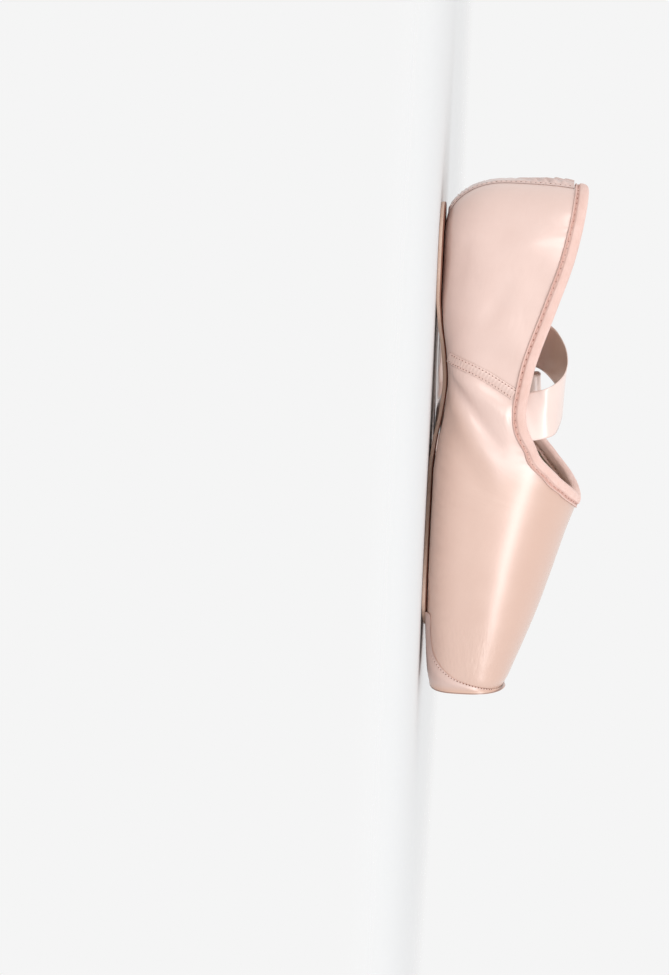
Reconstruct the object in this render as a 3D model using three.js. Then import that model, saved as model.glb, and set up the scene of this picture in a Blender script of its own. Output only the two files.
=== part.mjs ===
// A satin pointe shoe, standing empty on its sole with the toe towards +X.
// Millimetres, +Z up. The shoe is symmetric, with its left side at +Y.
import * as THREE from 'three';
import { mergeGeometries, mergeVertices } from 'three/addons/utils/BufferGeometryUtils.js';

// Driving dimensions
const LENGTH = 234;          // heel to platform
const SOLE_THICKNESS = 2.2;
const GAP = 0.3;             // between pieces that meet
const SOLE_GAP = 0.4;        // over the outsole, where the arch bends both
const HEEL_CAP = 30;         // length over which the heel rounds in
const HEEL_WAIST = 33;       // height at which the heel reaches furthest back
const HEEL_ROUNDNESS = { below: 2.2, wide: 2.3, above: 3.4 };
const INSOLE_THICKNESS = 1.8;
const LASTING_MARGIN = 5;    // how far the upper turns in over the outsole
const BINDING = { height: 5, cloth: 0.7, slack: 0.5, innerSlack: 1.2 };
const STRIP = { halfWidth: 6.5, low: 3.4, cloth: 0.5 };
const TAPE = { halfWidth: 2.7, cloth: 0.5, gap: 0.4 };
const PANEL = { cloth: 0.55, gap: 0.65, start: 197 };
const RIBBON = { halfWidth: 11, halfThickness: 0.3, clear: 0.2 };
const RIBBON_STEPS = 2;      // between two rows of a ribbon's table
const SOLE_BEVEL = 0.5;
const INSOLE = { back: 17.5, front: 226, clearance: 1.6 };
const HALVINGS = 40;         // steps of a search for a crossing
const FLAT_COLUMNS = 2;      // columns of each face that lie on the flat underside
const WAIST = 80;            // station of the waist
const COLLAR_CENTRE = 76;    // middle of the opening, from the back of the heel
const COLLAR_REACH = 74;     // half the opening's length
const COLLAR_HALF = 32;      // half the opening's width
const COLLAR_SIDE = 25;      // about how far out the collar runs along the quarters
const STEEPEST = 2.4;        // most that the collar line's slope stretches the binding's height

// Colours
const SATIN = { color: 0xe8cbbe, roughness: 0.38, metalness: 0 };
const SATIN_STRIP = { color: 0xd7beb6, roughness: 0.42, metalness: 0 };
const BINDING_TAPE = { color: 0xf4d2c8, roughness: 0.75, metalness: 0 };
const LEATHER = { color: 0xd5b8a6, roughness: 0.8, metalness: 0 };
const BOARD = { color: 0xe9dccb, roughness: 0.85, metalness: 0 };
const RIBBON_SATIN = { color: 0xf3dfd8, roughness: 0.35, metalness: 0 };

// The last, a row for each station s behind the platform, measured from the back of the heel:
// half width, how far the round form would reach below the flat underside, height of the widest
// line, crown, squareness below and above that line, and wall thickness.
const LAST = [
  { s: 0, half: 27.0, sink: 1.6, wide: 27, crown: 84, low: 2.7, high: 2.5, wall: 1.3 },
  { s: 30, half: 28.2, sink: 1.8, wide: 26, crown: 84, low: 2.8, high: 2.5, wall: 1.3 },
  { s: 60, half: 27.6, sink: 1.8, wide: 25, crown: 82, low: 2.8, high: 2.5, wall: 1.3 },
  { s: 88, half: 28.6, sink: 1.8, wide: 24, crown: 79, low: 2.7, high: 2.5, wall: 1.3 },
  { s: 112, half: 32.6, sink: 2.0, wide: 23, crown: 76, low: 2.8, high: 2.2, wall: 1.5 },
  { s: 142, half: 37.6, sink: 2.3, wide: 22.5, crown: 70, low: 3.2, high: 2.05, wall: 2.0 },
  { s: 160, half: 38.5, sink: 2.4, wide: 22, crown: 64.3, low: 3.4, high: 2.1, wall: 2.6 },
  { s: 180, half: 36.9, sink: 2.3, wide: 21.5, crown: 58.6, low: 3.4, high: 2.2, wall: 2.8 },
  { s: 198, half: 33.4, sink: 2.0, wide: 21, crown: 53.2, low: 3.2, high: 2.3, wall: 2.8 },
  { s: 214, half: 29.4, sink: 1.4, wide: 20.5, crown: 47.6, low: 3.1, high: 2.35, wall: 2.8 },
  { s: 224, half: 26.8, sink: 0.8, wide: 20, crown: 43.9, low: 3.1, high: 2.4, wall: 2.8 },
  { s: 230, half: 24.9, sink: 0.2, wide: 20, crown: 41.6, low: 3.2, high: 2.5, wall: 2.8 },
  { s: 234, half: 23.0, sink: -0.4, wide: 20, crown: 39.6, low: 3.3, high: 2.5, wall: 2.8 },
];

// How far the underside of the outsole is lifted off the floor: arch and toe spring.
const ARCH = [
  { s: 0, lift: 0 },
  { s: 50, lift: 0 },
  { s: 64, lift: 1.2 },
  { s: 78, lift: 3.4 },
  { s: 92, lift: 4.6 },
  { s: 106, lift: 3.4 },
  { s: 119, lift: 1.2 },
  { s: 132, lift: 0 },
  { s: 190, lift: 0 },
  { s: 208, lift: 0.8 },
  { s: 222, lift: 1.8 },
  { s: 236, lift: 3.0 },
];

// Half width of the outsole between its two round ends.
const SOLE = [
  { s: 10, half: 20 },
  { s: 34, half: 20.4 },
  { s: 54, half: 17.5 },
  { s: 72, half: 12.2 },
  { s: 88, half: 10 },
  { s: 109, half: 11.8 },
  { s: 138, half: 18 },
  { s: 157, half: 22.2 },
  { s: 176, half: 25.6 },
  { s: 190, half: 25.8 },
  { s: 208, half: 24.6 },
];
const SOLE_ENDS = { back: 11, backRound: 19, front: 208, frontRound: 22, bluntest: 1.2 };
const SOLE_ROUNDNESS = { back: 2, front: 2.1 };

// The collar: height at the middle of the shoe, and rise for each millimetre to the side,
// which turns the throat into a rounded V.
const COLLAR = [
  { s: -6, height: 65.5, rise: 0 },
  { s: 8, height: 64, rise: 0 },
  { s: 30, height: 60, rise: 0 },
  { s: 55, height: 52.5, rise: 0 },
  { s: 78, height: 45.2, rise: 0 },
  { s: 94, height: 41.5, rise: 0.03 },
  { s: 108, height: 38, rise: 0.16 },
  { s: 119, height: 38.5, rise: 0.33 },
  { s: 130, height: 47, rise: 0.42 },
  { s: 138, height: 58, rise: 0.45 },
  { s: 144, height: 68.5, rise: 0.45 },
  { s: 154, height: 87, rise: 0.45 },
];

// Side seam, and edge of the panel under the toe, both as seen from the side.
const SIDE_SEAM = [[77, -2], [78.5, 6], [83, 20], [90, 33], [98, 46]];
const PANEL_EDGE = [[190, 3.4], [205, 3.8], [215, 5.2], [222, 9.5], [228, 17.5], [232, 29], [235.6, 42.4]];

// Ribbon centrelines, from the sewn end inside the quarter to the free end on the floor:
// place along the shoe, place across it, height, and the bearing and lift of the width in degrees.
const RIBBON_RIGHT = [
  { s: 107.5, y: -28, z: 17, bearing: -10, lift: 9 },
  { s: 106.3, y: -29, z: 25, bearing: -10, lift: 9 },
  { s: 104.8, y: -25.6, z: 35, bearing: -10, lift: 9 },
  { s: 103.3, y: -24.4, z: 44, bearing: -9, lift: 8 },
  { s: 101, y: -22.6, z: 53, bearing: -2, lift: 4 },
  { s: 96, y: -12, z: 59, bearing: 14, lift: 0 },
  { s: 89.5, y: 4, z: 60, bearing: 24, lift: -4 },
  { s: 83.5, y: 19, z: 55.8, bearing: 20, lift: -10 },
  { s: 80, y: 28.8, z: 50, bearing: 12, lift: -13 },
  { s: 78.6, y: 33.8, z: 40, bearing: 6, lift: -10 },
  { s: 77.8, y: 36.4, z: 28, bearing: 20, lift: -5 },
  { s: 76.5, y: 40.5, z: 16, bearing: 44, lift: -2 },
  { s: 73.5, y: 43.5, z: 6.5, bearing: 58, lift: 0 },
  { s: 66, y: 47.5, z: 1.2, bearing: 64, lift: 0 },
  { s: 57, y: 51.5, z: 2.4, bearing: 74, lift: 10 },
  { s: 48.5, y: 55, z: 6.5, bearing: 86, lift: 42 },
  { s: 40, y: 57, z: 11.4, bearing: 90, lift: 84 },
  { s: 31.5, y: 61, z: 11.4, bearing: 90, lift: 90 },
  { s: 28, y: 69.5, z: 11.4, bearing: 0, lift: 90 },
  { s: 31.5, y: 78, z: 11.4, bearing: -90, lift: 90 },
  { s: 40, y: 81.5, z: 11.4, bearing: -90, lift: 84 },
  { s: 51.5, y: 82.5, z: 8, bearing: -90, lift: 50 },
  { s: 63, y: 82.5, z: 3.5, bearing: -90, lift: 14 },
  { s: 75, y: 82, z: 1, bearing: -90, lift: 0 },
  { s: 86, y: 81.5, z: 3, bearing: -90, lift: -10 },
  { s: 97, y: 81.5, z: 8, bearing: -90, lift: -48 },
  { s: 108, y: 82, z: 11.4, bearing: -90, lift: -84 },
  { s: 116.5, y: 85.5, z: 11.4, bearing: -90, lift: -90 },
  { s: 120, y: 94, z: 11.4, bearing: 0, lift: -90 },
  { s: 116.5, y: 102.5, z: 11.4, bearing: 90, lift: -90 },
  { s: 108, y: 106, z: 11.4, bearing: 90, lift: -84 },
  { s: 96.5, y: 107, z: 8, bearing: 90, lift: -50 },
  { s: 84, y: 107.5, z: 3, bearing: 90, lift: -12 },
  { s: 70, y: 107.5, z: 1, bearing: 90, lift: 0 },
  { s: 52, y: 107, z: 3.6, bearing: 90, lift: 4 },
  { s: 36, y: 106.5, z: 1, bearing: 90, lift: 0 },
];
const RIBBON_LEFT = [
  { s: 107.5, y: 28, z: 17, bearing: 10, lift: 9 },
  { s: 106.3, y: 29, z: 25, bearing: 10, lift: 9 },
  { s: 104.8, y: 25.6, z: 35, bearing: 10, lift: 9 },
  { s: 103.6, y: 24.4, z: 42, bearing: 10, lift: 9 },
  { s: 103.2, y: 25.6, z: 49.4, bearing: 10, lift: 8 },
  { s: 103.2, y: 33.2, z: 49.4, bearing: 10, lift: 8 },
  { s: 103.8, y: 35.8, z: 41, bearing: 8, lift: 8 },
  { s: 105, y: 38.6, z: 30, bearing: -4, lift: 4 },
  { s: 107, y: 42.5, z: 18, bearing: -30, lift: 0 },
  { s: 111, y: 45.5, z: 7, bearing: -54, lift: 0 },
  { s: 119, y: 49.5, z: 1.4, bearing: -64, lift: 0 },
  { s: 132, y: 54.5, z: 1, bearing: -74, lift: 2 },
  { s: 147, y: 57.5, z: 3.6, bearing: -84, lift: 4 },
  { s: 168, y: 58.5, z: 1.2, bearing: -90, lift: 0 },
  { s: 187, y: 58.5, z: 3.5, bearing: -90, lift: 14 },
  { s: 199, y: 58.5, z: 8, bearing: -90, lift: 50 },
  { s: 210, y: 58.5, z: 11.4, bearing: -90, lift: 84 },
  { s: 218.5, y: 62, z: 11.4, bearing: -90, lift: 90 },
  { s: 222, y: 70.5, z: 11.4, bearing: 0, lift: 90 },
  { s: 218.5, y: 79, z: 11.4, bearing: 90, lift: 90 },
  { s: 210, y: 82.5, z: 11.4, bearing: 90, lift: 84 },
  { s: 199, y: 83.5, z: 8, bearing: 90, lift: 50 },
  { s: 188, y: 83.5, z: 3.5, bearing: 90, lift: 14 },
  { s: 180, y: 83.5, z: 1, bearing: 90, lift: 0 },
  { s: 172, y: 83, z: 3, bearing: 90, lift: -10 },
  { s: 161, y: 82.5, z: 8, bearing: 90, lift: -48 },
  { s: 150, y: 82.5, z: 11.4, bearing: 90, lift: -84 },
  { s: 141.5, y: 86, z: 11.4, bearing: 90, lift: -90 },
  { s: 138, y: 94.5, z: 11.4, bearing: 0, lift: -90 },
  { s: 141.5, y: 103, z: 11.4, bearing: -90, lift: -90 },
  { s: 150, y: 106.5, z: 11.4, bearing: -90, lift: -84 },
  { s: 162, y: 107.5, z: 8, bearing: -90, lift: -50 },
  { s: 174, y: 107.5, z: 3, bearing: -90, lift: -12 },
  { s: 188, y: 107.5, z: 1, bearing: -90, lift: 0 },
  { s: 204, y: 107, z: 3.8, bearing: -92, lift: 3 },
  { s: 220, y: 106.5, z: 1, bearing: -92, lift: 0 },
];

// Values between the rows of a table, as a curve that never overshoots them.
function along(table, column, s) {
  const last = table.length - 1;
  if (s <= table[0].s) return table[0][column];
  if (s >= table[last].s) return table[last][column];
  const i = table.findIndex((row) => row.s > s) - 1;
  const step = (k) => table[k + 1].s - table[k].s;
  const slope = (k) => (table[k + 1][column] - table[k][column]) / step(k);
  const tangent = (k) => {
    if (k === 0 || k === last) return slope(Math.min(k, last - 1));
    const [before, after] = [slope(k - 1), slope(k)];
    return before * after <= 0 ? 0 : (2 * before * after) / (before + after);
  };
  const h = step(i);
  const t = (s - table[i].s) / h;
  const [a, b] = [table[i][column], table[i + 1][column]];
  const [ta, tb] = [tangent(i) * h, tangent(i + 1) * h];
  const u = t - 1;
  return a * (1 + 2 * t) * u * u + ta * t * u * u + b * t * t * (3 - 2 * t) + tb * t * t * u;
}

const { lerp, degToRad } = THREE.MathUtils;
const HEEL = 0;
const PLATFORM = LENGTH;
const MIDDLE = (PLATFORM + PANEL.gap + PANEL.cloth + HEEL - GAP - STRIP.cloth) / 2;
const toX = (s) => s - MIDDLE;
const lift = (s) => along(ARCH, 'lift', s);
const underside = (s) => lift(s) + SOLE_THICKNESS + SOLE_GAP;
const wall = (s) => along(LAST, 'wall', s);
const collarHeight = (s, y) => along(COLLAR, 'height', s) + along(COLLAR, 'rise', s) * Math.abs(y);

// Where a rising function of one value changes sign between two values.
function crossing(value, from, to) {
  let [low, high] = [from, to];
  for (let i = 0; i < HALVINGS; i += 1) {
    const middle = (low + high) / 2;
    if (value(middle) < 0) low = middle;
    else high = middle;
  }
  return (low + high) / 2;
}

// How much of the full section is left at a distance in from a rounded end.
function roundedShare(inward, reach, roundness) {
  const fraction = Math.min(Math.max(1 - inward / reach, 0), 1);
  return (1 - fraction ** roundness) ** (1 / roundness);
}

// The section of the last at a station, grown by an offset.
function section(s, offset) {
  const value = (column) => along(LAST, column, s);
  const share = (roundness) => roundedShare(s + offset, HEEL_CAP + offset, roundness);
  const below = share(HEEL_ROUNDNESS.below);
  const middle = lerp(HEEL_WAIST, value('wide'), below);
  const bottom = underside(s) - value('sink') - offset;
  return {
    half: (value('half') + offset) * share(HEEL_ROUNDNESS.wide),
    middle,
    bottom: lerp(middle, bottom, below),
    top: lerp(middle, value('crown') + offset, share(HEEL_ROUNDNESS.above)),
    floor: underside(s) - offset,
    low: value('low'),
    high: value('high'),
  };
}

// A point of the last's left side, at an angle round the section that is 0 at the middle of the
// underside and a half turn at the crown. The underside is flat, where the outsole meets it.
function lastPoint(s, angle, offset) {
  const at = section(s, offset);
  const [sin, cos] = [Math.sin(angle), Math.cos(angle)];
  const exponent = 2 / (cos > 0 ? at.low : at.high);
  const reach = cos > 0 ? at.middle - at.bottom : at.top - at.middle;
  const z = at.middle - Math.sign(cos) * reach * Math.abs(cos) ** exponent;
  return [toX(s), at.half * Math.max(sin, 0) ** exponent, Math.max(z, at.floor)];
}

// Half width of the last at a height, or -1 above and below it.
function halfAt(s, z, offset) {
  const at = section(s, offset);
  const exponent = z < at.middle ? at.low : at.high;
  const reach = z < at.middle ? at.middle - at.bottom : at.top - at.middle;
  const share = Math.abs(z - at.middle) / reach;
  return s < -offset || share > 1 ? -1 : at.half * (1 - share ** exponent) ** (1 / exponent);
}

// The angle at which the left side reaches a height.
function angleAt(s, z, offset) {
  return crossing((angle) => lastPoint(s, angle, offset)[2] - z, 0.02, Math.PI);
}

// The angle at which the flat underside reaches a distance from the middle.
function underAngle(s, y, offset) {
  const at = section(s, offset);
  return y <= 0 ? 0 : Math.asin(Math.min((y / at.half) ** (at.low / 2), 1));
}

// The angle at which the flat underside ends, and a share of the way round from one angle to
// another, with the first columns on the flat.
function flatAngle(s, offset) {
  const at = section(s, offset);
  const share = (at.middle - at.floor) / (at.middle - at.bottom);
  return share >= 1 ? 0 : Math.acos(share ** (at.low / 2));
}
function angleOf(s, offset, from, to, share, columns) {
  const flat = Math.max(flatAngle(s, offset), from);
  const column = share * columns;
  if (column <= FLAT_COLUMNS) return lerp(from, flat, column / FLAT_COLUMNS);
  return lerp(flat, to, (column - FLAT_COLUMNS) / (columns - FLAT_COLUMNS));
}

// The angle at which the left side meets the collar, or a half turn where the crown is below it.
function collarAngle(s, offset) {
  const over = (angle) => {
    const [, y, z] = lastPoint(s, angle, offset);
    return z - collarHeight(s, y);
  };
  return over(Math.PI) <= 1e-6 ? Math.PI : crossing(over, Math.PI / 3, Math.PI);
}

// A three.js geometry with each vertex moved, and its corners joined into one closed body.
function closed(geometry) {
  geometry.deleteAttribute('normal');
  geometry.deleteAttribute('uv');
  const joined = mergeVertices(geometry, 1e-4);
  const corners = [];
  for (let i = 0; i < joined.index.count; i += 3) {
    const [a, b, c] = [0, 1, 2].map((k) => joined.index.getX(i + k));
    if (a !== b && b !== c && c !== a) corners.push(a, b, c);
  }
  joined.setIndex(corners);
  return joined;
}

// Moves each vertex of a geometry by its own place, or by its place in the texture grid.
function moved(geometry, move) {
  const { position, uv } = geometry.attributes;
  for (let i = 0; i < position.count; i += 1) {
    const own = [position.getX(i), position.getY(i), position.getZ(i)];
    position.setXYZ(i, ...move(...own, uv.getX(i), uv.getY(i)));
  }
  return geometry;
}

// A bent box, from -0.5 to 0.5 each way before it is bent.
function bentBox(lengthwise, across, thick, move) {
  return closed(moved(new THREE.BoxGeometry(1, 1, 1, lengthwise, across, thick), move));
}

// One sheet of a grid of rows and columns, turned over where asked.
function sheet(columns, rows, turned, place) {
  const grid = new THREE.PlaneGeometry(1, 1, columns, rows);
  moved(grid, (x, y, z, u, v) => place(Math.round((1 - v) * rows), u));
  if (turned) grid.index.array.reverse();
  return grid;
}

// A symmetric wall with an outer and an inner face, sewn from sheets. place(layer, row, share)
// gives the left side, with layer 0 outside and 1 inside. The open rows are where the wall ends
// above or below, and the rows at both ends of such a stretch are closed.
function sewnWall({ rows, columns, place, openBelow, openAbove, startRim = false }) {
  const sheets = [1, -1].flatMap((side) => {
    const at = (layer, row, share) => {
      const [x, y, z] = place(layer, row, share);
      return [x, share % 1 === 0 && Math.abs(y) < 1e-6 ? 0 : y * side, z];
    };
    const left = side > 0;
    const rim = ([first, last], share, turned) => (
      sheet(1, last - first, turned, (row, layer) => at(layer, first + row, share))
    );
    const sides = [
      sheet(columns[0], rows, left, (row, share) => at(0, row, share)),
      sheet(columns[1], rows, !left, (row, share) => at(1, row, share)),
      rim(openAbove, 1, left),
      rim(openBelow, 0, !left),
    ];
    if (startRim) sides.push(sheet(columns[0], 1, !left, (layer, share) => at(layer, 0, share)));
    return sides;
  });
  return closed(mergeGeometries(sheets));
}

// Half width of the outsole, rounded off at both ends, and drawn in all round by an inset.
function soleHalf(s, inset = 0) {
  const back = roundedShare(s - SOLE_ENDS.back - inset, SOLE_ENDS.backRound - inset, SOLE_ROUNDNESS.back);
  const toFront = SOLE_ENDS.front - inset - s;
  const front = roundedShare(toFront, SOLE_ENDS.frontRound - inset, SOLE_ROUNDNESS.front);
  return (along(SOLE, 'half', s) - inset) * back * front;
}

// Stations from one to another that crowd towards the first, the last or both.
function spread(from, to, count, crowd) {
  return Array.from({ length: count + 1 }, (_, i) => {
    const t = i / count;
    const eased = { both: (1 - Math.cos(Math.PI * t)) / 2, first: t * t, last: 1 - (1 - t) ** 2, none: t };
    return lerp(from, to, eased[crowd]);
  });
}

// The stations that both faces of the upper share as landmarks, from heel to platform.
function landmarks(offsetAt) {
  const crownOver = (s) => section(s, offsetAt(s)).top - collarHeight(s, 0);
  return {
    heel: HEEL - offsetAt(HEEL),
    back: crossing(crownOver, HEEL - offsetAt(HEEL), HEEL_CAP),
    holeBack: SOLE_ENDS.back + LASTING_MARGIN,
    waist: WAIST,
    throat: crossing((s) => -crownOver(s), COLLAR_CENTRE, PLATFORM),
    holeFront: SOLE_ENDS.front - LASTING_MARGIN,
    soleEnd: SOLE_ENDS.front + GAP,
    platform: PLATFORM + offsetAt(PLATFORM),
  };
}

// Rows of the upper between one landmark and the next.
const SPANS = [
  { from: 'heel', to: 'back', rows: 3, crowd: 'first' },
  { from: 'back', to: 'holeBack', rows: 5, crowd: 'first' },
  { from: 'holeBack', to: 'waist', rows: 7, crowd: 'first' },
  { from: 'waist', to: 'throat', rows: 13, crowd: 'last' },
  { from: 'throat', to: 'holeFront', rows: 6, crowd: 'none' },
  { from: 'holeFront', to: 'soleEnd', rows: 1, crowd: 'none' },
  { from: 'soleEnd', to: 'platform', rows: 8, crowd: 'last' },
];
function rowOf(landmark) {
  const count = SPANS.findIndex((span) => span.from === landmark);
  return SPANS.slice(0, count).reduce((sum, span) => sum + span.rows, 0);
}

function makeUpper() {
  const offsets = [() => 0, (s) => -wall(s)];
  const faces = offsets.map(landmarks);
  const rows = faces.map((at) => [
    at.heel,
    ...SPANS.flatMap((span) => spread(at[span.from], at[span.to], span.rows, span.crowd).slice(1)),
  ]);
  const columns = [14, 12];
  const openAbove = [rowOf('back'), rowOf('throat')];
  const openBelow = [rowOf('holeBack'), rowOf('holeFront')];
  const isOpen = ([first, last], row) => row > first && row < last;
  const place = (layer, row, share) => {
    if (row === 0) return [toX(faces[layer].heel), 0, HEEL_WAIST];
    if (row === rows[layer].length) return [toX(faces[layer].platform), 0, along(LAST, 'wide', PLATFORM)];
    const s = rows[layer][row];
    const offset = offsets[layer](s);
    const to = isOpen(openAbove, row) ? collarAngle(s, offset) : Math.PI;
    const from = isOpen(openBelow, row) ? underAngle(s, soleHalf(s, LASTING_MARGIN), offset) : 0;
    return lastPoint(s, angleOf(s, offset, from, to, share, columns[layer]), offset);
  };
  return sewnWall({ rows: rows[0].length, columns, place, openAbove, openBelow });
}

// A plate that follows the sole, between two heights, its half width a function of station.
function plate(from, to, rows, halfOf, bottomAt, topAt) {
  const stations = spread(from, to, rows, 'both');
  return bentBox(rows, 2, 2, (x, y, z) => {
    const s = stations[Math.round((x + 0.5) * rows)];
    return [toX(s), 2 * y * halfOf(s, z + 0.5), lerp(bottomAt(s), topAt(s), z + 0.5)];
  });
}

function makeOutsole() {
  const half = (s, share) => Math.max(soleHalf(s), SOLE_ENDS.bluntest) - (share === 0 ? SOLE_BEVEL : 0);
  return plate(SOLE_ENDS.back, SOLE_ENDS.front, 44, half, lift, (s) => lift(s) + SOLE_THICKNESS);
}

function makeInsole() {
  const offset = (s) => -wall(s) - INSOLE.clearance;
  const bottomAt = (s) => underside(s) + wall(s) + GAP;
  const half = (s, share) => Math.max(halfAt(s, bottomAt(s) + share * INSOLE_THICKNESS, offset(s)), 2);
  return plate(INSOLE.back, INSOLE.front, 34, half, bottomAt, (s) => bottomAt(s) + INSOLE_THICKNESS);
}

// A point on the last, where it meets the collar surface shifted up or down square to its line,
// in a direction seen from above: 0 is the toe, a quarter turn the left side.
function collarPoint(turn, offsetAt, shift) {
  const at = (r) => [COLLAR_CENTRE + r * COLLAR_REACH * Math.cos(turn), r * COLLAR_HALF * Math.sin(turn)];
  const height = (s, y) => {
    const slope = (collarHeight(s + 0.5, y) - collarHeight(s - 0.5, y));
    return collarHeight(s, y) + shift * Math.min(Math.hypot(1, slope), STEEPEST);
  };
  const outside = (r) => {
    const [s, y] = at(r);
    return Math.abs(y) - halfAt(s, height(s, y), offsetAt(s));
  };
  const [within, beyond] = [0.3, 1.5];
  const [s, y] = at(crossing(outside, within, beyond));
  return [toX(s), y, height(s, y)];
}

// The binding is folded over the collar edge: down the outside, over the top, down the inside,
// and back up between itself and the wall.
function makeBinding() {
  const { height, cloth, slack, innerSlack } = BINDING;
  const outside = (gap) => () => gap;
  const inside = (gap) => (s) => -wall(s) - gap;
  const profile = [
    [outside(slack + cloth), -height],
    [outside(slack + cloth), -height / 2],
    [outside(slack + cloth), slack],
    [(s) => -wall(s) / 2, slack + cloth],
    [inside(innerSlack + cloth), slack],
    [inside(innerSlack + cloth), -height / 2],
    [inside(innerSlack + cloth), -height],
    [inside(innerSlack), -height],
    [inside(innerSlack), -height / 2],
    [inside(innerSlack), slack],
    [outside(slack), slack],
    [outside(slack), -height / 2],
    [outside(slack), -height],
  ];
  const steps = 64;
  const ring = new THREE.TorusGeometry(1, 0.4, profile.length, steps);
  moved(ring, (x, y, z, u, v) => {
    const turn = 2 * Math.PI * (Math.round(u * steps) % steps) / steps;
    const [offsetAt, shift] = profile[Math.round(v * profile.length) % profile.length];
    return collarPoint(turn, offsetAt, shift);
  });
  return closed(ring);
}

// The height just below the binding at a station.
function belowBinding(s) {
  const slope = collarHeight(s + 0.5, 0) - collarHeight(s - 0.5, 0);
  const y = halfAt(s, collarHeight(s, COLLAR_SIDE), 0);
  return collarHeight(s, y) - (BINDING.height + 3 * GAP) * Math.hypot(1, slope);
}

function makeSideTape(side) {
  const steps = 14;
  const curve = new THREE.SplineCurve(SIDE_SEAM.map(([s, z]) => new THREE.Vector2(s, z)));
  const from = crossing((t) => curve.getPoint(t).y - underside(curve.getPoint(t).x) - 2 * GAP, 0, 1);
  const to = crossing((t) => curve.getPoint(t).y - belowBinding(curve.getPoint(t).x + TAPE.halfWidth), 0, 1);
  return bentBox(2, steps, 1, (x, y, z) => {
    const t = lerp(from, to, y + 0.5);
    const at = curve.getPoint(t);
    const way = curve.getTangent(t);
    const s = at.x + 2 * x * TAPE.halfWidth * way.y;
    const height = at.y - 2 * x * TAPE.halfWidth * way.x;
    const offset = TAPE.gap + TAPE.cloth * (0.5 - side * z);
    return [toX(s), side * halfAt(s, height, offset), height];
  });
}

function makeHeelStrip() {
  const backAt = (y, z, offset) => crossing((s) => halfAt(s, z, offset) - y, -offset - 0.1, HEEL_CAP);
  const low = STRIP.low;
  const high = belowBinding(STRIP.halfWidth);
  return bentBox(4, 20, 1, (x, y, z) => {
    const height = lerp(low, high, y + 0.5);
    const across = 2 * x * STRIP.halfWidth;
    const s = backAt(Math.abs(across), height, GAP + STRIP.cloth * (z + 0.5));
    return [toX(s), -across, height];
  });
}

// The panel under the toe, open where the outsole's round end lies, and closed over the platform.
function makeToePanel() {
  const edge = PANEL_EDGE.map(([s, z]) => ({ s, z }));
  const offsets = [PANEL.gap + PANEL.cloth, PANEL.gap];
  const soleEnd = SOLE_ENDS.front + GAP;
  const columns = [9, 9];
  const notch = 5;
  const rows = offsets.map((offset) => [
    ...spread(PANEL.start, soleEnd, notch, 'last'),
    ...spread(soleEnd, PLATFORM + offset, 8, 'last').slice(1),
  ]);
  const place = (layer, row, share) => {
    const offset = offsets[layer];
    if (row === rows[layer].length) return [toX(PLATFORM + offset), 0, along(LAST, 'wide', PLATFORM)];
    const s = rows[layer][row];
    const to = row === rows[layer].length - 1 ? Math.PI : angleAt(s, along(edge, 'z', s), offset);
    const from = row >= notch ? 0 : underAngle(s, soleHalf(s - GAP) + GAP, offset);
    return lastPoint(s, angleOf(s, offset, from, to, share, columns[layer]), offset);
  };
  const last = rows[0].length;
  const shape = { rows: last, columns, place, openBelow: [0, notch], openAbove: [0, last - 1] };
  return sewnWall({ ...shape, startRim: true });
}

// A ribbon along its centreline: two faces with the same diagonals, two long edges and two ends.
function makeRibbon(rows) {
  const curve = new THREE.CatmullRomCurve3(rows.map((row) => new THREE.Vector3(toX(row.s), row.y, row.z)));
  const last = rows.length - 1;
  const steps = last * RIBBON_STEPS;
  const point = (step, across, through) => {
    const t = step / steps;
    const i = Math.min(Math.floor(t * last), last - 1);
    const mix = (column) => lerp(rows[i][column], rows[i + 1][column], t * last - i);
    const [bearing, tilt] = [degToRad(mix('bearing')), degToRad(mix('lift'))];
    const flat = Math.cos(tilt);
    const width = new THREE.Vector3(flat * Math.cos(bearing), flat * Math.sin(bearing), Math.sin(tilt));
    const way = curve.getTangent(t);
    width.addScaledVector(way, -width.dot(way)).normalize();
    const face = new THREE.Vector3().crossVectors(way, width);
    const at = curve.getPoint(t);
    const lowest = at.z - Math.abs(width.z) * RIBBON.halfWidth - Math.abs(face.z) * RIBBON.halfThickness;
    at.z += Math.max(RIBBON.clear - lowest, 0);
    at.addScaledVector(width, (2 * across - 1) * RIBBON.halfWidth);
    return at.addScaledVector(face, (2 * through - 1) * RIBBON.halfThickness).toArray();
  };
  return closed(mergeGeometries([
    sheet(1, steps, false, (step, across) => point(step, across, 1)),
    sheet(1, steps, true, (step, across) => point(step, across, 0)),
    sheet(1, steps, true, (step, through) => point(step, 1, through)),
    sheet(1, steps, false, (step, through) => point(step, 0, through)),
    sheet(1, 1, false, (through, across) => point(0, across, through)),
    sheet(1, 1, true, (through, across) => point(steps, across, through)),
  ]));
}

function mesh(name, geometry, look) {
  const made = new THREE.Mesh(geometry, new THREE.MeshStandardMaterial(look));
  made.name = name;
  return made;
}

const shoe = new THREE.Group();
shoe.add(
  mesh('upper', makeUpper(), SATIN),
  mesh('outsole', makeOutsole(), LEATHER),
  mesh('insole', makeInsole(), BOARD),
  mesh('collar_binding', makeBinding(), BINDING_TAPE),
  mesh('side_seam_tape_left', makeSideTape(1), SATIN),
  mesh('side_seam_tape_right', makeSideTape(-1), SATIN),
  mesh('heel_strip', makeHeelStrip(), SATIN_STRIP),
  mesh('toe_underpanel', makeToePanel(), SATIN),
  mesh('ribbon_left', makeRibbon(RIBBON_LEFT), RIBBON_SATIN),
  mesh('ribbon_right', makeRibbon(RIBBON_RIGHT), RIBBON_SATIN),
);
export default shoe;
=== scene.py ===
import itertools
import math

import bmesh
import bpy
import numpy as np
from mathutils import Matrix, Vector


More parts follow.
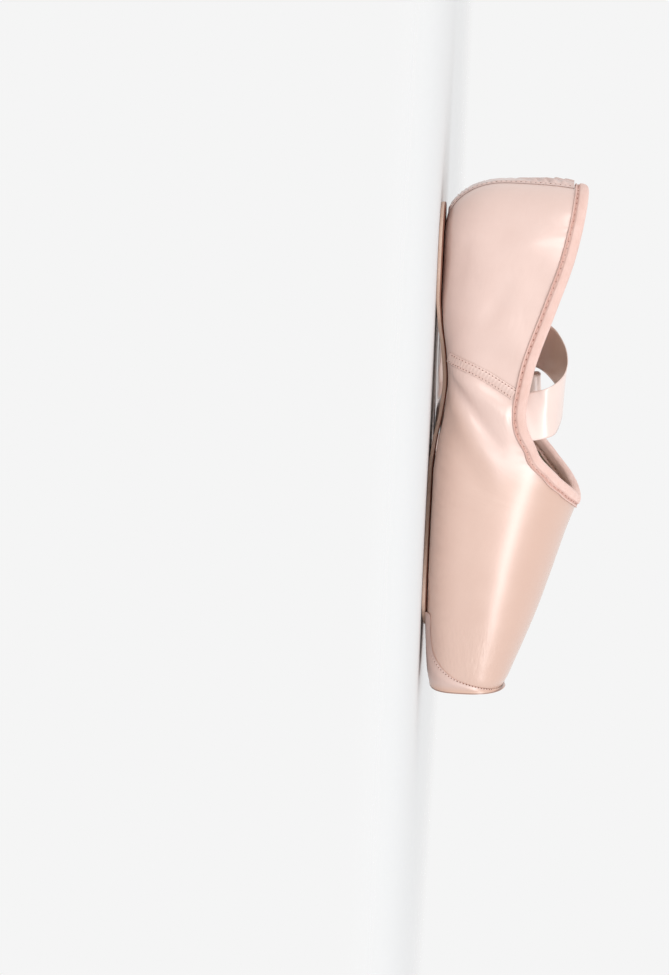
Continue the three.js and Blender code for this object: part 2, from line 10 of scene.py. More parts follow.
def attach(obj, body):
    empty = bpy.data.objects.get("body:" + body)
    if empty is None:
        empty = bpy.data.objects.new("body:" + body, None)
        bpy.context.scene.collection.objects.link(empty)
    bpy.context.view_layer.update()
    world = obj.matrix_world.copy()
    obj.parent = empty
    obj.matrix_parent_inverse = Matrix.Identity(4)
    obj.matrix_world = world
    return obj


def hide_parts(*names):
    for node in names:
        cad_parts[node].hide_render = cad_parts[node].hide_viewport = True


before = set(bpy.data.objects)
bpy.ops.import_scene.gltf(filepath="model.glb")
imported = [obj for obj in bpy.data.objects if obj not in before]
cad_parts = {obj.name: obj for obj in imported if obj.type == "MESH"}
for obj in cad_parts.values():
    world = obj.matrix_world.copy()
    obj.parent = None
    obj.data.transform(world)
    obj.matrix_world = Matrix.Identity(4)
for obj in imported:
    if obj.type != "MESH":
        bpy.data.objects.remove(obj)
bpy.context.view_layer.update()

# Sizes are in millimetres, measured along the shoe from the back of the heel (s), across it (y) and
# up from the floor (z). MM turns them into metres where a mesh is made, and places in the cloth are
# in centimetres of CM each.
MM = 0.001
CM = 10
HEEL = 0
PLATFORM = 234
SOLE_THICKNESS = 2.2
GAP = 0.3
SOLE_GAP = 0.4
HEEL_CAP = 30
HEEL_WAIST = 33
HEEL_ROUNDNESS = {"below": 2.2, "wide": 2.3, "above": 3.4}
INSOLE_THICKNESS = 1.8
LASTING_MARGIN = 5
BINDING = {"height": 5, "outer": 1.05, "under": 0.25, "inner": 1.9, "inner_under": 1.2, "over": 1.3,
           "rim": 0.2, "step": 0.3, "stitch_up": 1.4, "groove": 0.7, "groove_half": 0.75, "roll": 0.5,
           "roll_end": 0.6}
STRIP = {"half_width": 6.5, "low": 3.4, "cloth": 0.5, "over": 1.0, "rise": 0.15, "under": 0.05,
         "edge": 0.7, "stitched": 1.0, "groove": 0.15, "groove_half": 0.4}
TAPE = {"half_width": 2.7, "rise": 0.12, "full": 0.36, "under": 0.02, "edge": 0.5, "pucker": 0.08,
        "pitch": 1.7, "stitch_rows": (-1.8, 1.8), "groove": 0.16, "groove_half": 0.45, "length_cm": 4}
PANEL = {"cloth": 0.55, "gap": 0.65, "inside": 0.15, "start": 197, "edge": 0.3, "edge_inner": 0.1,
         "thins_over": 8, "stitched": 0.7}
RIBBON = {"half_width": 11, "half_thickness": 0.17, "clear": 0.2, "cad_half_thickness": 0.3, "curl": 0.1}
INSOLE = {"back": 17.5, "front": 226, "clearance": 1.6}
WAIST = 80
COLLAR_CENTRE = 76
COLLAR_REACH = 74
COLLAR_HALF = 32
COLLAR_SIDE = 25
STEEPEST = 2.4


def named_rows(columns, *rows):
    names = columns.split()
    return [dict(zip(names, row)) for row in rows]


LAST = named_rows(
    "s half sink wide crown low high wall",
    (0, 27.0, 1.6, 27, 84, 2.7, 2.5, 1.3), (30, 28.2, 1.8, 26, 84, 2.8, 2.5, 1.3),
    (60, 27.6, 1.8, 25, 82, 2.8, 2.5, 1.3), (88, 28.6, 1.8, 24, 79, 2.7, 2.5, 1.3),
    (112, 32.6, 2.0, 23, 76, 2.8, 2.2, 1.5), (142, 37.6, 2.3, 22.5, 70, 3.2, 2.05, 2.0),
    (160, 38.5, 2.4, 22, 64.3, 3.4, 2.1, 2.6), (180, 36.9, 2.3, 21.5, 58.6, 3.4, 2.2, 2.8),
    (198, 33.4, 2.0, 21, 53.2, 3.2, 2.3, 2.8), (214, 29.4, 1.4, 20.5, 47.6, 3.1, 2.35, 2.8),
    (224, 26.8, 0.8, 20, 43.9, 3.1, 2.4, 2.8), (230, 24.9, 0.2, 20, 41.6, 3.2, 2.5, 2.8),
    (234, 23.0, -0.4, 20, 39.6, 3.3, 2.5, 2.8),
)
ARCH = named_rows(
    "s lift", (0, 0), (50, 0), (64, 1.2), (78, 3.4), (92, 4.6), (106, 3.4), (119, 1.2), (132, 0),
    (190, 0), (208, 0.8), (222, 1.8), (236, 3.0),
)
SOLE = named_rows(
    "s half", (10, 20), (34, 20.4), (54, 17.5), (72, 12.2), (88, 10), (109, 11.8), (138, 18),
    (157, 22.2), (176, 25.6), (190, 25.8), (208, 24.6),
)
SOLE_ENDS = {"back": 11, "back_round": 19, "front": 208, "front_round": 22, "bluntest": 0.1}
SOLE_ROUNDNESS = {"back": 2, "front": 2.1}
COLLAR = named_rows(
    "s height rise", (-6, 65.5, 0), (8, 64, 0), (30, 60, 0), (55, 52.5, 0), (78, 45.2, 0),
    (94, 41.5, 0.03), (108, 38, 0.16), (119, 38.5, 0.33), (130, 47, 0.42), (138, 58, 0.45),
    (144, 68.5, 0.45), (154, 87, 0.45),
)
PANEL_EDGE = named_rows(
    "s z", (190, 3.4), (205, 3.8), (215, 5.2), (222, 9.5), (228, 17.5), (232, 29), (235.6, 42.4),
)
SIDE_SEAM = ((77, -2), (78.5, 6), (83, 20), (90, 33), (98, 46))

# Ribbon centrelines: s, y, z, and the bearing and lift of the width in degrees.
RIBBON_RIGHT = (
    (107.5, -28, 17, -10, 9), (106.3, -29, 25, -10, 9), (104.8, -25.6, 35, -10, 9),
    (103.3, -24.4, 44, -9, 8), (101, -22.6, 53, -2, 4), (96, -12, 59, 14, 0), (89.5, 4, 60, 24, -4),
    (83.5, 19, 55.8, 20, -10), (80, 28.8, 50, 12, -13), (78.6, 33.8, 40, 6, -10), (77.8, 36.4, 28, 20, -5),
    (76.5, 40.5, 16, 44, -2), (73.5, 43.5, 6.5, 58, 0), (66, 47.5, 1.2, 64, 0), (57, 51.5, 2.4, 74, 10),
    (48.5, 55, 6.5, 86, 42), (40, 57, 11.4, 90, 84), (31.5, 61, 11.4, 90, 90), (28, 69.5, 11.4, 0, 90),
    (31.5, 78, 11.4, -90, 90), (40, 81.5, 11.4, -90, 84), (51.5, 82.5, 8, -90, 50),
    (63, 82.5, 3.5, -90, 14), (75, 82, 1, -90, 0), (86, 81.5, 3, -90, -10), (97, 81.5, 8, -90, -48),
    (108, 82, 11.4, -90, -84), (116.5, 85.5, 11.4, -90, -90), (120, 94, 11.4, 0, -90),
    (116.5, 102.5, 11.4, 90, -90), (108, 106, 11.4, 90, -84), (96.5, 107, 8, 90, -50),
    (84, 107.5, 3, 90, -12), (70, 107.5, 1, 90, 0), (52, 107, 3.6, 90, 4), (36, 106.5, 1, 90, 0),
)
RIBBON_LEFT = (
    (107.5, 28, 17, 10, 9), (106.3, 29, 25, 10, 9), (104.8, 25.6, 35, 10, 9), (103.6, 24.4, 42, 10, 9),
    (103.2, 25.6, 49.4, 10, 8), (103.2, 33.2, 49.4, 10, 8), (103.8, 35.8, 41, 8, 8),
    (105, 38.6, 30, -4, 4), (107, 42.5, 18, -30, 0), (111, 45.5, 7, -54, 0), (119, 49.5, 1.4, -64, 0),
    (132, 54.5, 1, -74, 2), (147, 57.5, 3.6, -84, 4), (168, 58.5, 1.2, -90, 0), (187, 58.5, 3.5, -90, 14),
    (199, 58.5, 8, -90, 50), (210, 58.5, 11.4, -90, 84), (218.5, 62, 11.4, -90, 90),
    (222, 70.5, 11.4, 0, 90), (218.5, 79, 11.4, 90, 90), (210, 82.5, 11.4, 90, 84), (199, 83.5, 8, 90, 50),
    (188, 83.5, 3.5, 90, 14), (180, 83.5, 1, 90, 0), (172, 83, 3, 90, -10), (161, 82.5, 8, 90, -48),
    (150, 82.5, 11.4, 90, -84), (141.5, 86, 11.4, 90, -90), (138, 94.5, 11.4, 0, -90),
    (141.5, 103, 11.4, -90, -90), (150, 106.5, 11.4, -90, -84), (162, 107.5, 8, -90, -50),
    (174, 107.5, 3, -90, -12), (188, 107.5, 1, -90, 0), (204, 107, 3.8, -92, 3), (220, 106.5, 1, -92, 0),
)
MIDDLE = (PLATFORM + PANEL["gap"] + PANEL["cloth"] - GAP - STRIP["cloth"]) / 2

# The camera, as the picture frames the shoe: level with it, on its right side and a little towards
# its heel, rolled so that the toe points down.
PICTURE = {"width": 669, "height": 975}
PIXELS_PER_MM = 2.12
TOE_PIXEL = (462, 676)
TOE_HEIGHT = 20
AZIMUTH = math.radians(-13)
ROLL = math.radians(93)
EYE_HEIGHT = 34
LENS = 100
SENSOR = 36


def show(made):
    bpy.context.scene.collection.objects.link(made)
    return made


def make_camera():
    data = bpy.data.cameras.new("camera")
    data.lens = LENS
    data.sensor_width = SENSOR
    distance = PICTURE["height"] / PIXELS_PER_MM * LENS / SENSOR
    level_right = Vector((math.cos(AZIMUTH), math.sin(AZIMUTH), 0))
    towards = Vector((math.sin(AZIMUTH), -math.cos(AZIMUTH), 0))
    upright = Vector((0, 0, 1))
    from_middle = Vector((TOE_PIXEL[0] - PICTURE["width"] / 2, PICTURE["height"] / 2 - TOE_PIXEL[1]))
    across = (Matrix.Rotation(ROLL, 2) @ from_middle) / PIXELS_PER_MM
    toe = Vector((PLATFORM - MIDDLE, 0, TOE_HEIGHT))
    aim = toe - level_right * across.x - upright * across.y
    pitch = math.asin((EYE_HEIGHT - aim.z) / distance)
    back = towards * math.cos(pitch) + upright * math.sin(pitch)
    level_up = upright * math.cos(pitch) - towards * math.sin(pitch)
    picture_right = level_right * math.cos(ROLL) + level_up * math.sin(ROLL)
    picture_up = level_up * math.cos(ROLL) - level_right * math.sin(ROLL)
    camera = bpy.data.objects.new("camera", data)
    axes = Matrix((picture_right, picture_up, back)).transposed()
    camera.matrix_world = Matrix.Translation((aim + back * distance) * MM) @ axes.to_4x4()
    bpy.context.scene.camera = show(camera)


make_camera()


# Numbers

FITTED = {}


def fitted(table, column):
    """The rows of a table's column with the slope at each, for a curve that never overshoots."""
    key = (id(table), column)
    if key not in FITTED:
        s = np.array([row["s"] for row in table], float)
        v = np.array([row[column] for row in table], float)
        slope = np.diff(v) / np.diff(s)
        before, after = slope[:-1], slope[1:]
        product = before * after
        total = np.where(product > 0, before + after, 1)
        middle = np.where(product > 0, 2 * product / total, 0)
        FITTED[key] = (s, v, np.concatenate([slope[:1], middle, slope[-1:]]))
    return FITTED[key]


def along(table, column, s):
    rows, values, slopes = fitted(table, column)
    s = np.clip(np.asarray(s, float), rows[0], rows[-1])
    i = np.clip(np.searchsorted(rows, s, side="right") - 1, 0, len(rows) - 2)
    h = rows[i + 1] - rows[i]
    t = (s - rows[i]) / h
    u = t - 1
    return (values[i] * (1 + 2 * t) * u * u + slopes[i] * h * t * u * u
            + values[i + 1] * t * t * (3 - 2 * t) + slopes[i + 1] * h * t * t * u)


def smooth(low, high, value):
    t = np.clip((np.asarray(value, float) - low) / (high - low), 0, 1)
    return t * t * (3 - 2 * t)


def mix(a, b, share):
    return a + (b - a) * share


def crossing(value, low, high, steps=40):
    """Where a rising function changes sign, for each item of an array."""
    low, high = np.broadcast_arrays(np.asarray(low, float), np.asarray(high, float))
    low, high = low.copy(), high.copy()
    for _ in range(steps):
        middle = (low + high) / 2
        below = value(middle) < 0
        low = np.where(below, middle, low)
        high = np.where(below, high, middle)
    return (low + high) / 2


def spread(start, end, count, crowd):
    t = np.linspace(0, 1, count + 1)
    eased = {"both": (1 - np.cos(np.pi * t)) / 2, "first": t * t, "last": 1 - (1 - t) ** 2, "none": t}
    return mix(start, end, eased[crowd])


# The last

def to_x(s):
    return s - MIDDLE


def lift(s):
    return along(ARCH, "lift", s)


def underside(s):
    return lift(s) + SOLE_THICKNESS + SOLE_GAP


def wall(s):
    return along(LAST, "wall", s)


def collar_height(s, y):
    return along(COLLAR, "height", s) + along(COLLAR, "rise", s) * np.abs(y)


def slope_at(height, s):
    return height(s + 0.5) - height(s - 0.5)


def rounded_share(inward, reach, roundness):
    fraction = np.clip(1 - inward / reach, 0, 1)
    return (1 - fraction ** roundness) ** (1 / roundness)


def section(s, offset):
    def share(roundness):
        return rounded_share(s + offset, HEEL_CAP + offset, roundness)

    below = share(HEEL_ROUNDNESS["below"])
    middle = mix(HEEL_WAIST, along(LAST, "wide", s), below)
    bottom = underside(s) - along(LAST, "sink", s) - offset
    top = mix(middle, along(LAST, "crown", s) + offset, share(HEEL_ROUNDNESS["above"]))
    half = (along(LAST, "half", s) + offset) * share(HEEL_ROUNDNESS["wide"])
    floor = underside(s) - offset
    return half, middle, mix(middle, bottom, below), top, floor, along(LAST, "low", s), along(LAST, "high", s)


def last_point(s, angle, offset):
    """A point of the left side, at an angle that is 0 under the middle and a half turn at the crown."""
    half, middle, bottom, top, floor, low, high = section(s, offset)
    sin, cos = np.sin(angle), np.cos(angle)
    exponent = 2 / np.where(cos > 0, low, high)
    reach = np.where(cos > 0, middle - bottom, top - middle)
    z = middle - np.sign(cos) * reach * np.abs(cos) ** exponent
    y = half * np.maximum(sin, 0) ** exponent
    return np.stack(np.broadcast_arrays(to_x(s), y, np.maximum(z, floor)), -1)


def half_at(s, z, offset):
    half, middle, bottom, top, floor, low, high = section(s, offset)
    exponent = np.where(z < middle, low, high)
    reach = np.maximum(np.where(z < middle, middle - bottom, top - middle), 1e-6)
    share = np.abs(z - middle) / reach
    inside = (share <= 1) & (s >= -offset)
    return np.where(inside, half * (1 - np.minimum(share, 1) ** exponent) ** (1 / exponent), -1)


def angle_at(s, z, offset):
    return crossing(lambda a: last_point(s, a, offset)[..., 2] - z, np.full(np.shape(s), 0.02), math.pi)


def under_angle(s, y, offset):
    half, middle, bottom, top, floor, low, high = section(s, offset)
    share = np.clip(np.maximum(y, 0) / np.maximum(half, 1e-6), 0, 1)
    return np.arcsin(np.minimum(share ** (low / 2), 1))


def collar_angle(s, offset):
    def over(angle):
        point = last_point(s, angle, offset)
        return point[..., 2] - collar_height(s, point[..., 1])

    found = crossing(over, np.full(np.shape(s), math.pi / 3), math.pi)
    return np.where(over(np.full(np.shape(s), math.pi)) <= 1e-6, math.pi, found)


def sole_half(s, inset=0):
    from_back = s - SOLE_ENDS["back"] - inset
    to_front = SOLE_ENDS["front"] - inset - s
    back = rounded_share(from_back, SOLE_ENDS["back_round"] - inset, SOLE_ROUNDNESS["back"])
    front = rounded_share(to_front, SOLE_ENDS["front_round"] - inset, SOLE_ROUNDNESS["front"])
    return (along(SOLE, "half", s) - inset) * back * front


# Folds of the worn satin, as seen from the side: start, bend and end as (s, z), how wide at the
# start and at the end, and how far each stands out, with troughs below 0. The first five fan out
# from the lower end of the side seam, where the shoe bends, and the rest lie on the quarters.
FOLDS = (
    {"at": ((81, 10), (87, 24), (95, 37)), "wide": (3.0, 3.6), "out": -1.2},
    {"at": ((84, 8), (93, 22), (105, 37)), "wide": (3.6, 8.0), "out": 1.7},
    {"at": ((86, 7), (99, 17), (117, 33)), "wide": (3.0, 4.4), "out": -1.3},
    {"at": ((90, 6), (107, 15), (128, 31)), "wide": (4.0, 9.0), "out": 0.9},
    {"at": ((97, 5), (120, 11), (140, 30)), "wide": (5.0, 8.0), "out": -0.5},
    {"at": ((76, 9), (73, 22), (77, 38)), "wide": (3.6, 5.0), "out": -0.7},
    {"at": ((71, 8), (63, 19), (60, 40)), "wide": (5.0, 9.0), "out": 0.7},
    {"at": ((66, 20), (50, 30), (34, 34)), "wide": (5.0, 8.0), "out": -0.5},
    {"at": ((30, 47), (46, 42), (64, 39)), "wide": (8.0, 11.0), "out": -0.35},
    {"at": ((14, 52), (29, 37), (40, 16)), "wide": (9.0, 13.0), "out": 0.5},
    {"at": ((22, 14), (36, 9), (56, 10)), "wide": (4.0, 6.0), "out": -0.4},
)
FOLD_SAMPLES = 28
FOLD_ENDS = 0.7
WAVES = {"vamp": 0.03, "quarters": 0.16, "vamp_from": 150, "quarters_from": 110}
GATHERS = {"collar": 0.11, "sole": 0.14, "fade": 3.5, "sole_clear": 3}
CALM = {"at_collar": (1.5, 8), "at_heel": (0, 10), "at_middle": (1, 9), "to_platform": (6, 30),
        "under": (0.15, 0.3)}


def placed_folds(s, z, side):
    """The folds of the table. On the left side each has a depth of its own."""
    total = np.zeros(np.broadcast(s, z).shape)
    t = np.linspace(0, 1, FOLD_SAMPLES)
    for number, fold in enumerate(FOLDS):
        start, bend, end = (np.array(p, float) for p in fold["at"])
        line = np.outer((1 - t) ** 2, start) + np.outer(2 * t * (1 - t), bend) + np.outer(t * t, end)
        far = (s[..., None] - line[:, 0]) ** 2 + (z[..., None] - line[:, 1]) ** 2
        nearest = far.argmin(-1)
        ends = np.sin(np.pi * np.clip(t[nearest] * 0.92 + 0.04, 0, 1)) ** FOLD_ENDS
        half_wide = mix(*fold["wide"], t[nearest]) / 2
        own = 1 if side < 0 else 0.8 + 0.25 * math.sin(number * 2.3)
        total += fold["out"] * own * ends * np.exp(-far.min(-1) / (2 * half_wide ** 2))
    return total


def slack_waves(s, z, side):
    """Broad shallow waves, lower on the stiff vamp than on the soft quarters."""
    waves = (np.sin(s * 0.13 + side * 0.8) * np.sin(z * 0.15 + s * 0.045 + side)
             + 0.5 * np.sin(s * 0.24 - z * 0.2 + side * 2.1))
    return waves * mix(WAVES["vamp"], WAVES["quarters"],
                       smooth(WAVES["vamp_from"], WAVES["quarters_from"], s))


def folds(s, z, side):
    """How far the satin stands out of the last at a place seen from the side."""
    below_edge = collar_height(s, COLLAR_SIDE) - z
    total = (placed_folds(s, z, side) + slack_waves(s, z, side)) * smooth(*CALM["at_collar"], below_edge)
    gather = np.sin(s * 1.25 + 0.9 * np.sin(s * 0.31)) * (0.6 + 0.4 * np.sin(s * 0.17 + side))
    from_binding = np.abs(below_edge - BINDING["height"])
    total += GATHERS["collar"] * gather * np.exp(-from_binding / GATHERS["fade"])
    pull = np.sin(s * 0.95 + 1.3 * np.sin(s * 0.22 + side))
    from_sole = np.abs(z - underside(s) - GATHERS["sole_clear"])
    to_platform = smooth(*CALM["to_platform"], PLATFORM - s)
    total += GATHERS["sole"] * pull * np.exp(-from_sole / GATHERS["fade"]) * to_platform
    return total * smooth(*CALM["at_heel"], s) * smooth(*CALM["at_middle"], half_at(s, z, 0))


# Meshes

def add_mesh(name, points, faces, uv, kinds, materials):
    """An object from points in millimetres. uv holds one place per corner, in centimetres."""
    mesh = bpy.data.meshes.new(name)
    mesh.from_pydata((np.asarray(points, float) * MM).tolist(), [], [list(f) for f in faces])
    layer = mesh.uv_layers.new(name="UVMap")
    layer.data.foreach_set("uv", np.asarray(uv, np.float32).ravel())
    for material in materials:
        mesh.materials.append(material)
    mesh.polygons.foreach_set("material_index", np.asarray(kinds, np.int32))
    body = bmesh.new()
    body.from_mesh(mesh)
    bmesh.ops.remove_doubles(body, verts=body.verts, dist=2e-6)
    bmesh.ops.dissolve_degenerate(body, edges=body.edges, dist=1e-6)
    bmesh.ops.recalc_face_normals(body, faces=body.faces)
    for face in body.faces:
        face.smooth = True
    body.to_mesh(mesh)
    body.free()
    mesh.update()
    return show(bpy.data.objects.new(name, mesh))


class Cloth:
    """Sheets of quads that are collected into one mesh."""

    def __init__(self):
        self.points, self.faces, self.uv, self.kinds, self.count = [], [], [], [], 0

    def sheet(self, grid, place, kind=0, turned=False):
        """A grid of points, with the place of each in the cloth, in centimetres."""
        rows, columns = grid.shape[:2]
        index = np.arange(rows * columns).reshape(rows, columns) + self.count
        quads = np.stack([index[:-1, :-1], index[:-1, 1:], index[1:, 1:], index[1:, :-1]], -1).reshape(-1, 4)
        if turned:
            quads = quads[:, ::-1]
        self.points.append(grid.reshape(-1, 3))
        self.faces.append(quads)
        self.uv.append(place.reshape(-1, 2)[quads - self.count].reshape(-1, 2))
        self.kinds.append(np.full(len(quads), kind))
        self.count += rows * columns

    def made(self, name, materials):
        return add_mesh(name, np.concatenate(self.points), np.concatenate(self.faces).tolist(),
                        np.concatenate(self.uv), np.concatenate(self.kinds), materials)


def girth(grid):
    """Distance along each row of a grid, from its first column."""
    step = np.linalg.norm(np.diff(grid, axis=1), axis=-1)
    return np.concatenate([np.zeros((len(grid), 1)), np.cumsum(step, 1)], 1)


def reach_along(points):
    """Distance along a line of points, from its first."""
    return girth(points[None])[0]


# The share of the columns that is kept for the flat underside, and how finely a section is measured.
UNDER_COLUMNS = 0.14
FINE = 260


def flat_angle(s, offset):
    """The angle at which the flat underside ends."""
    half, middle, bottom, top, floor, low, high = section(s, offset)
    share = np.minimum((middle - floor) / (middle - bottom), 1)
    return np.arccos(share ** (low / 2))


def evenly(s, offset, start, end, columns):
    """Angles round each section from one to another, evenly spaced over the cloth."""
    t = np.linspace(0, 1, FINE)
    angles = start[:, None] + (end - start)[:, None] * t
    reach = girth(last_point(s[:, None], angles, offset[:, None]))
    share = np.linspace(0, 1, columns + 1)
    return np.stack([np.interp(share * reach[i, -1], reach[i], angles[i]) for i in range(len(s))])


def even_angles(s, offset, start, end, columns):
    """The same, with a share of the columns kept for the flat underside."""
    under = round(columns * UNDER_COLUMNS)
    split = np.maximum(flat_angle(s, offset), start)
    return np.concatenate([evenly(s, offset, start, split, under),
                           evenly(s, offset, split, end, columns - under)[:, 1:]], 1)


def sewn_wall(cloth, layers, open_below, open_above, side, start_rim=False):
    """One side of a wall with an outer and an inner face and its rims."""
    mirror = np.array([1, side, 1])
    left = side > 0
    grids = [grid * mirror for grid in layers]
    places = []
    for grid in grids:
        around = girth(grid)
        from_top = (around[:, -1:] - around) / CM
        places.append(np.stack([np.broadcast_to(grid[:, :1, 0] / CM, from_top.shape), from_top], -1))
    cloth.sheet(grids[0], places[0], 0, left)
    cloth.sheet(grids[1], places[1], 1, not left)
    rim_width = 0.1

    def rim(rows, column, turned):
        rows = slice(rows[0], rows[1] + 1)
        pair = np.stack([grid[rows, column] for grid in grids], 1)
        place = places[0][rows, column]
        cloth.sheet(pair, np.stack([place, place + rim_width], 1), 1, turned)

    rim(open_above, -1, left)
    rim(open_below, 0, not left)
    if start_rim:
        place = places[0][0]
        cloth.sheet(np.stack([grid[0] for grid in grids]), np.stack([place, place + rim_width]), 0, not left)


def landmarks(offset_at):
    def crown_over(s):
        return section(s, offset_at(s))[3] - collar_height(s, 0)

    return {
        "heel": HEEL - offset_at(HEEL),
        "back": float(crossing(crown_over, HEEL - offset_at(HEEL), HEEL_CAP)),
        "hole_back": SOLE_ENDS["back"] + LASTING_MARGIN,
        "waist": WAIST,
        "throat": float(crossing(lambda s: -crown_over(s), COLLAR_CENTRE, PLATFORM)),
        "hole_front": SOLE_ENDS["front"] - LASTING_MARGIN,
        "sole_end": SOLE_ENDS["front"] + GAP,
        "platform": PLATFORM + offset_at(PLATFORM),
    }


# The stretches between landmarks: how many rows each has, and at which end they crowd.
SPANS = (
    ("heel", "back", 8, "first"), ("back", "hole_back", 18, "first"),
    ("hole_back", "waist", 54, "first"), ("waist", "throat", 72, "last"),
    ("throat", "hole_front", 46, "none"), ("hole_front", "sole_end", 5, "none"),
    ("sole_end", "platform", 34, "last"),
)
UPPER_COLUMNS = {"satin": 100, "lining": 64}


def row_of(landmark):
    starts = [span[0] for span in SPANS]
    return sum(span[2] for span in SPANS[:starts.index(landmark)])


def with_pole(grid, s):
    """The grid with one more row, which is the point that closes the platform."""
    pole = np.array([to_x(s), 0, float(along(LAST, "wide", PLATFORM))])
    return np.concatenate([grid, np.broadcast_to(pole, grid[:1].shape)])


def upper_layer(offset_at, columns, side, folded):
    at = landmarks(offset_at)
    parts = [spread(at[a], at[b], rows, crowd)[1:] for a, b, rows, crowd in SPANS]
    s = np.concatenate([[at["heel"]], *parts])
    offset = np.broadcast_to(offset_at(s), s.shape).astype(float)
    row = np.arange(len(s))
    above = (row > row_of("back")) & (row < row_of("throat"))
    below = (row > row_of("hole_back")) & (row < row_of("hole_front"))
    end = np.where(above, collar_angle(s, offset), math.pi)
    start = np.where(below, under_angle(s, sole_half(s, LASTING_MARGIN), offset), 0.0)
    angles = even_angles(s, offset, start, end, columns)
    grid = last_point(s[:, None], angles, offset[:, None])
    if folded:
        out = folds(np.broadcast_to(s[:, None], angles.shape), grid[..., 2], side)
        out = out * smooth(*CALM["under"], angles / math.pi)
        grid = last_point(s[:, None], angles, offset[:, None] + out)
        grid[..., 0] = to_x(s)[:, None]
    shut_above, shut_below = ~above, ~below
    grid[shut_above, -1, 1] = 0
    grid[shut_below, 0, 1] = 0
    grid[0] = (to_x(s[0]), 0, HEEL_WAIST)
    return with_pole(grid, s[-1])


def make_upper(satin, lining):
    cloth = Cloth()
    for side in (1, -1):
        outer = upper_layer(lambda s: 0 * s, UPPER_COLUMNS["satin"], side, True)
        inner = upper_layer(lambda s: -wall(s), UPPER_COLUMNS["lining"], side, False)
        sewn_wall(cloth, (outer, inner), (row_of("hole_back"), row_of("hole_front")),
                  (row_of("back"), row_of("throat")), side)
    return cloth.made("shoe_upper", [satin, lining])


def loop_strip(name, loops, places, materials, kind_of=None):
    """A closed band from loops of points, one after another, with its two ends filled. kind_of
    gives the finish of each quad of a loop."""
    rows, columns = loops.shape[:2]
    index = np.arange(rows * columns).reshape(rows, columns)
    around = np.roll(index, -1, 1)
    quads = np.stack([index[:-1], around[:-1], around[1:], index[1:]], -1).reshape(-1, 4)
    faces = quads.tolist() + [index[0][::-1].tolist(), index[-1].tolist()]
    uv = np.concatenate([places.reshape(-1, 2)[np.array(f)] for f in faces])
    each = np.zeros(columns, int) if kind_of is None else kind_of
    kinds = np.concatenate([np.tile(each, rows - 1), [0, 0]])
    return add_mesh(name, loops.reshape(-1, 3), faces, uv, kinds, materials)


def ring_strip(name, loops, places, material):
    """A closed band whose last loop meets its first."""
    rows, columns = loops.shape[:2]
    index = np.arange(rows * columns).reshape(rows, columns)
    around = np.roll(index, -1, 1)
    onward, both = np.roll(index, -1, 0), np.roll(np.roll(index, -1, 0), -1, 1)
    quads = np.stack([index, around, both, onward], -1).reshape(-1, 4)
    uv = places.reshape(-1, 2)[quads].copy()
    length = places[-1, 0, 0] * rows / (rows - 1)
    wrapped = quads[:, 2] < quads[:, 0] - columns
    uv[wrapped, 2:, 0] += length
    return add_mesh(name, loops.reshape(-1, 3), quads.tolist(), uv.reshape(-1, 2),
                    np.zeros(len(quads), int), [material])


def section_places(s, outline):
    """A loop of points across the shoe, and the place of each along and across it."""
    here = np.full(len(outline), s)
    return np.column_stack([to_x(here), outline]), np.column_stack([here, outline[:, 0]]) / CM


# The patterned field of the outsole, how deep it is sunk, and the bare place inside it. The crosses
# stand at a pitch along and across it. Near an edge an arm is laid in part, between two shares of it.
RELIEF = {"start": 113, "end": 205, "edge": 2.2, "deep": 0.16, "bare_start": 143, "bare_end": 183,
          "bare_half": 6.5}
CROSS = {"pitch": 13.0, "wide": 16.0, "arm": 4.9, "first": 4,
         "shares": ((0.03, 1), (0.03, 0.7), (0.3, 1), (0.03, 0.45), (0.55, 1))}


def relief_share(s, y, soften=1.2):
    """1 in the patterned field of the outsole and 0 outside it."""
    inside = [s - RELIEF["start"], RELIEF["end"] - s, sole_half(s) - np.abs(y) - RELIEF["edge"]]
    return smooth(0, soften, inside[0]) * smooth(0, soften, inside[1]) * smooth(0, soften, inside[2])


# The outsole's edge from below: inset from the outline, and share of the thickness. Its points are
# dark from this one up.
SOLE_EDGE = ((0.55, 0), (0.22, 0.07), (0.04, 0.25), (0, 0.5), (0.02, 0.72), (0.05, 0.76), (0.2, 0.94),
             (0.5, 1))
DARK_FROM = 4


def make_outsole(leather, dark_edge):
    rows, under, over, near = 250, 56, 20, 0.05
    s = spread(SOLE_ENDS["back"], SOLE_ENDS["front"], rows, "both")
    half = np.maximum(sole_half(s), SOLE_ENDS["bluntest"])
    # The outline's outward way, so that the edge is rounded alike at the sides and the ends.
    spreading = (sole_half(s + near) - sole_half(s - near)) / (2 * near)
    out_y = 1 / np.hypot(1, spreading)
    out_s = -spreading * out_y
    below, above = SOLE_EDGE[0][0], SOLE_EDGE[-1][0]
    flat_below = np.linspace(-1, 1, under + 1)[1:-1]
    flat_above = np.linspace(1, -1, over + 1)[1:-1]
    loops, places = [], []
    for i in range(len(s)):
        bottom = float(lift(s[i]))
        edge = [(half[i] - inset * out_y[i], bottom + share * SOLE_THICKNESS, inset)
                for inset, share in SOLE_EDGE]
        y = flat_below * edge[0][0]
        pressed = bottom + RELIEF["deep"] * relief_share(np.full(y.shape, s[i]), y)
        outline = np.array([(-y, z, inset) for y, z, inset in reversed(edge)]
                           + [(*point, below) for point in zip(y, pressed)]
                           + edge
                           + [(k * edge[-1][0], edge[-1][1], above) for k in flat_above])
        loop, place = section_places(s[i], outline[:, :2])
        loop[:, 0] -= outline[:, 2] * out_s[i]
        loops.append(loop)
        places.append(place)
    kind_of = np.zeros(len(outline), int)
    kind_of[:len(SOLE_EDGE) - 1 - DARK_FROM] = 1
    kind_of[len(SOLE_EDGE) + len(flat_below) + DARK_FROM:] = 1
    return loop_strip("shoe_outsole", np.array(loops), np.array(places), [leather, dark_edge], kind_of)


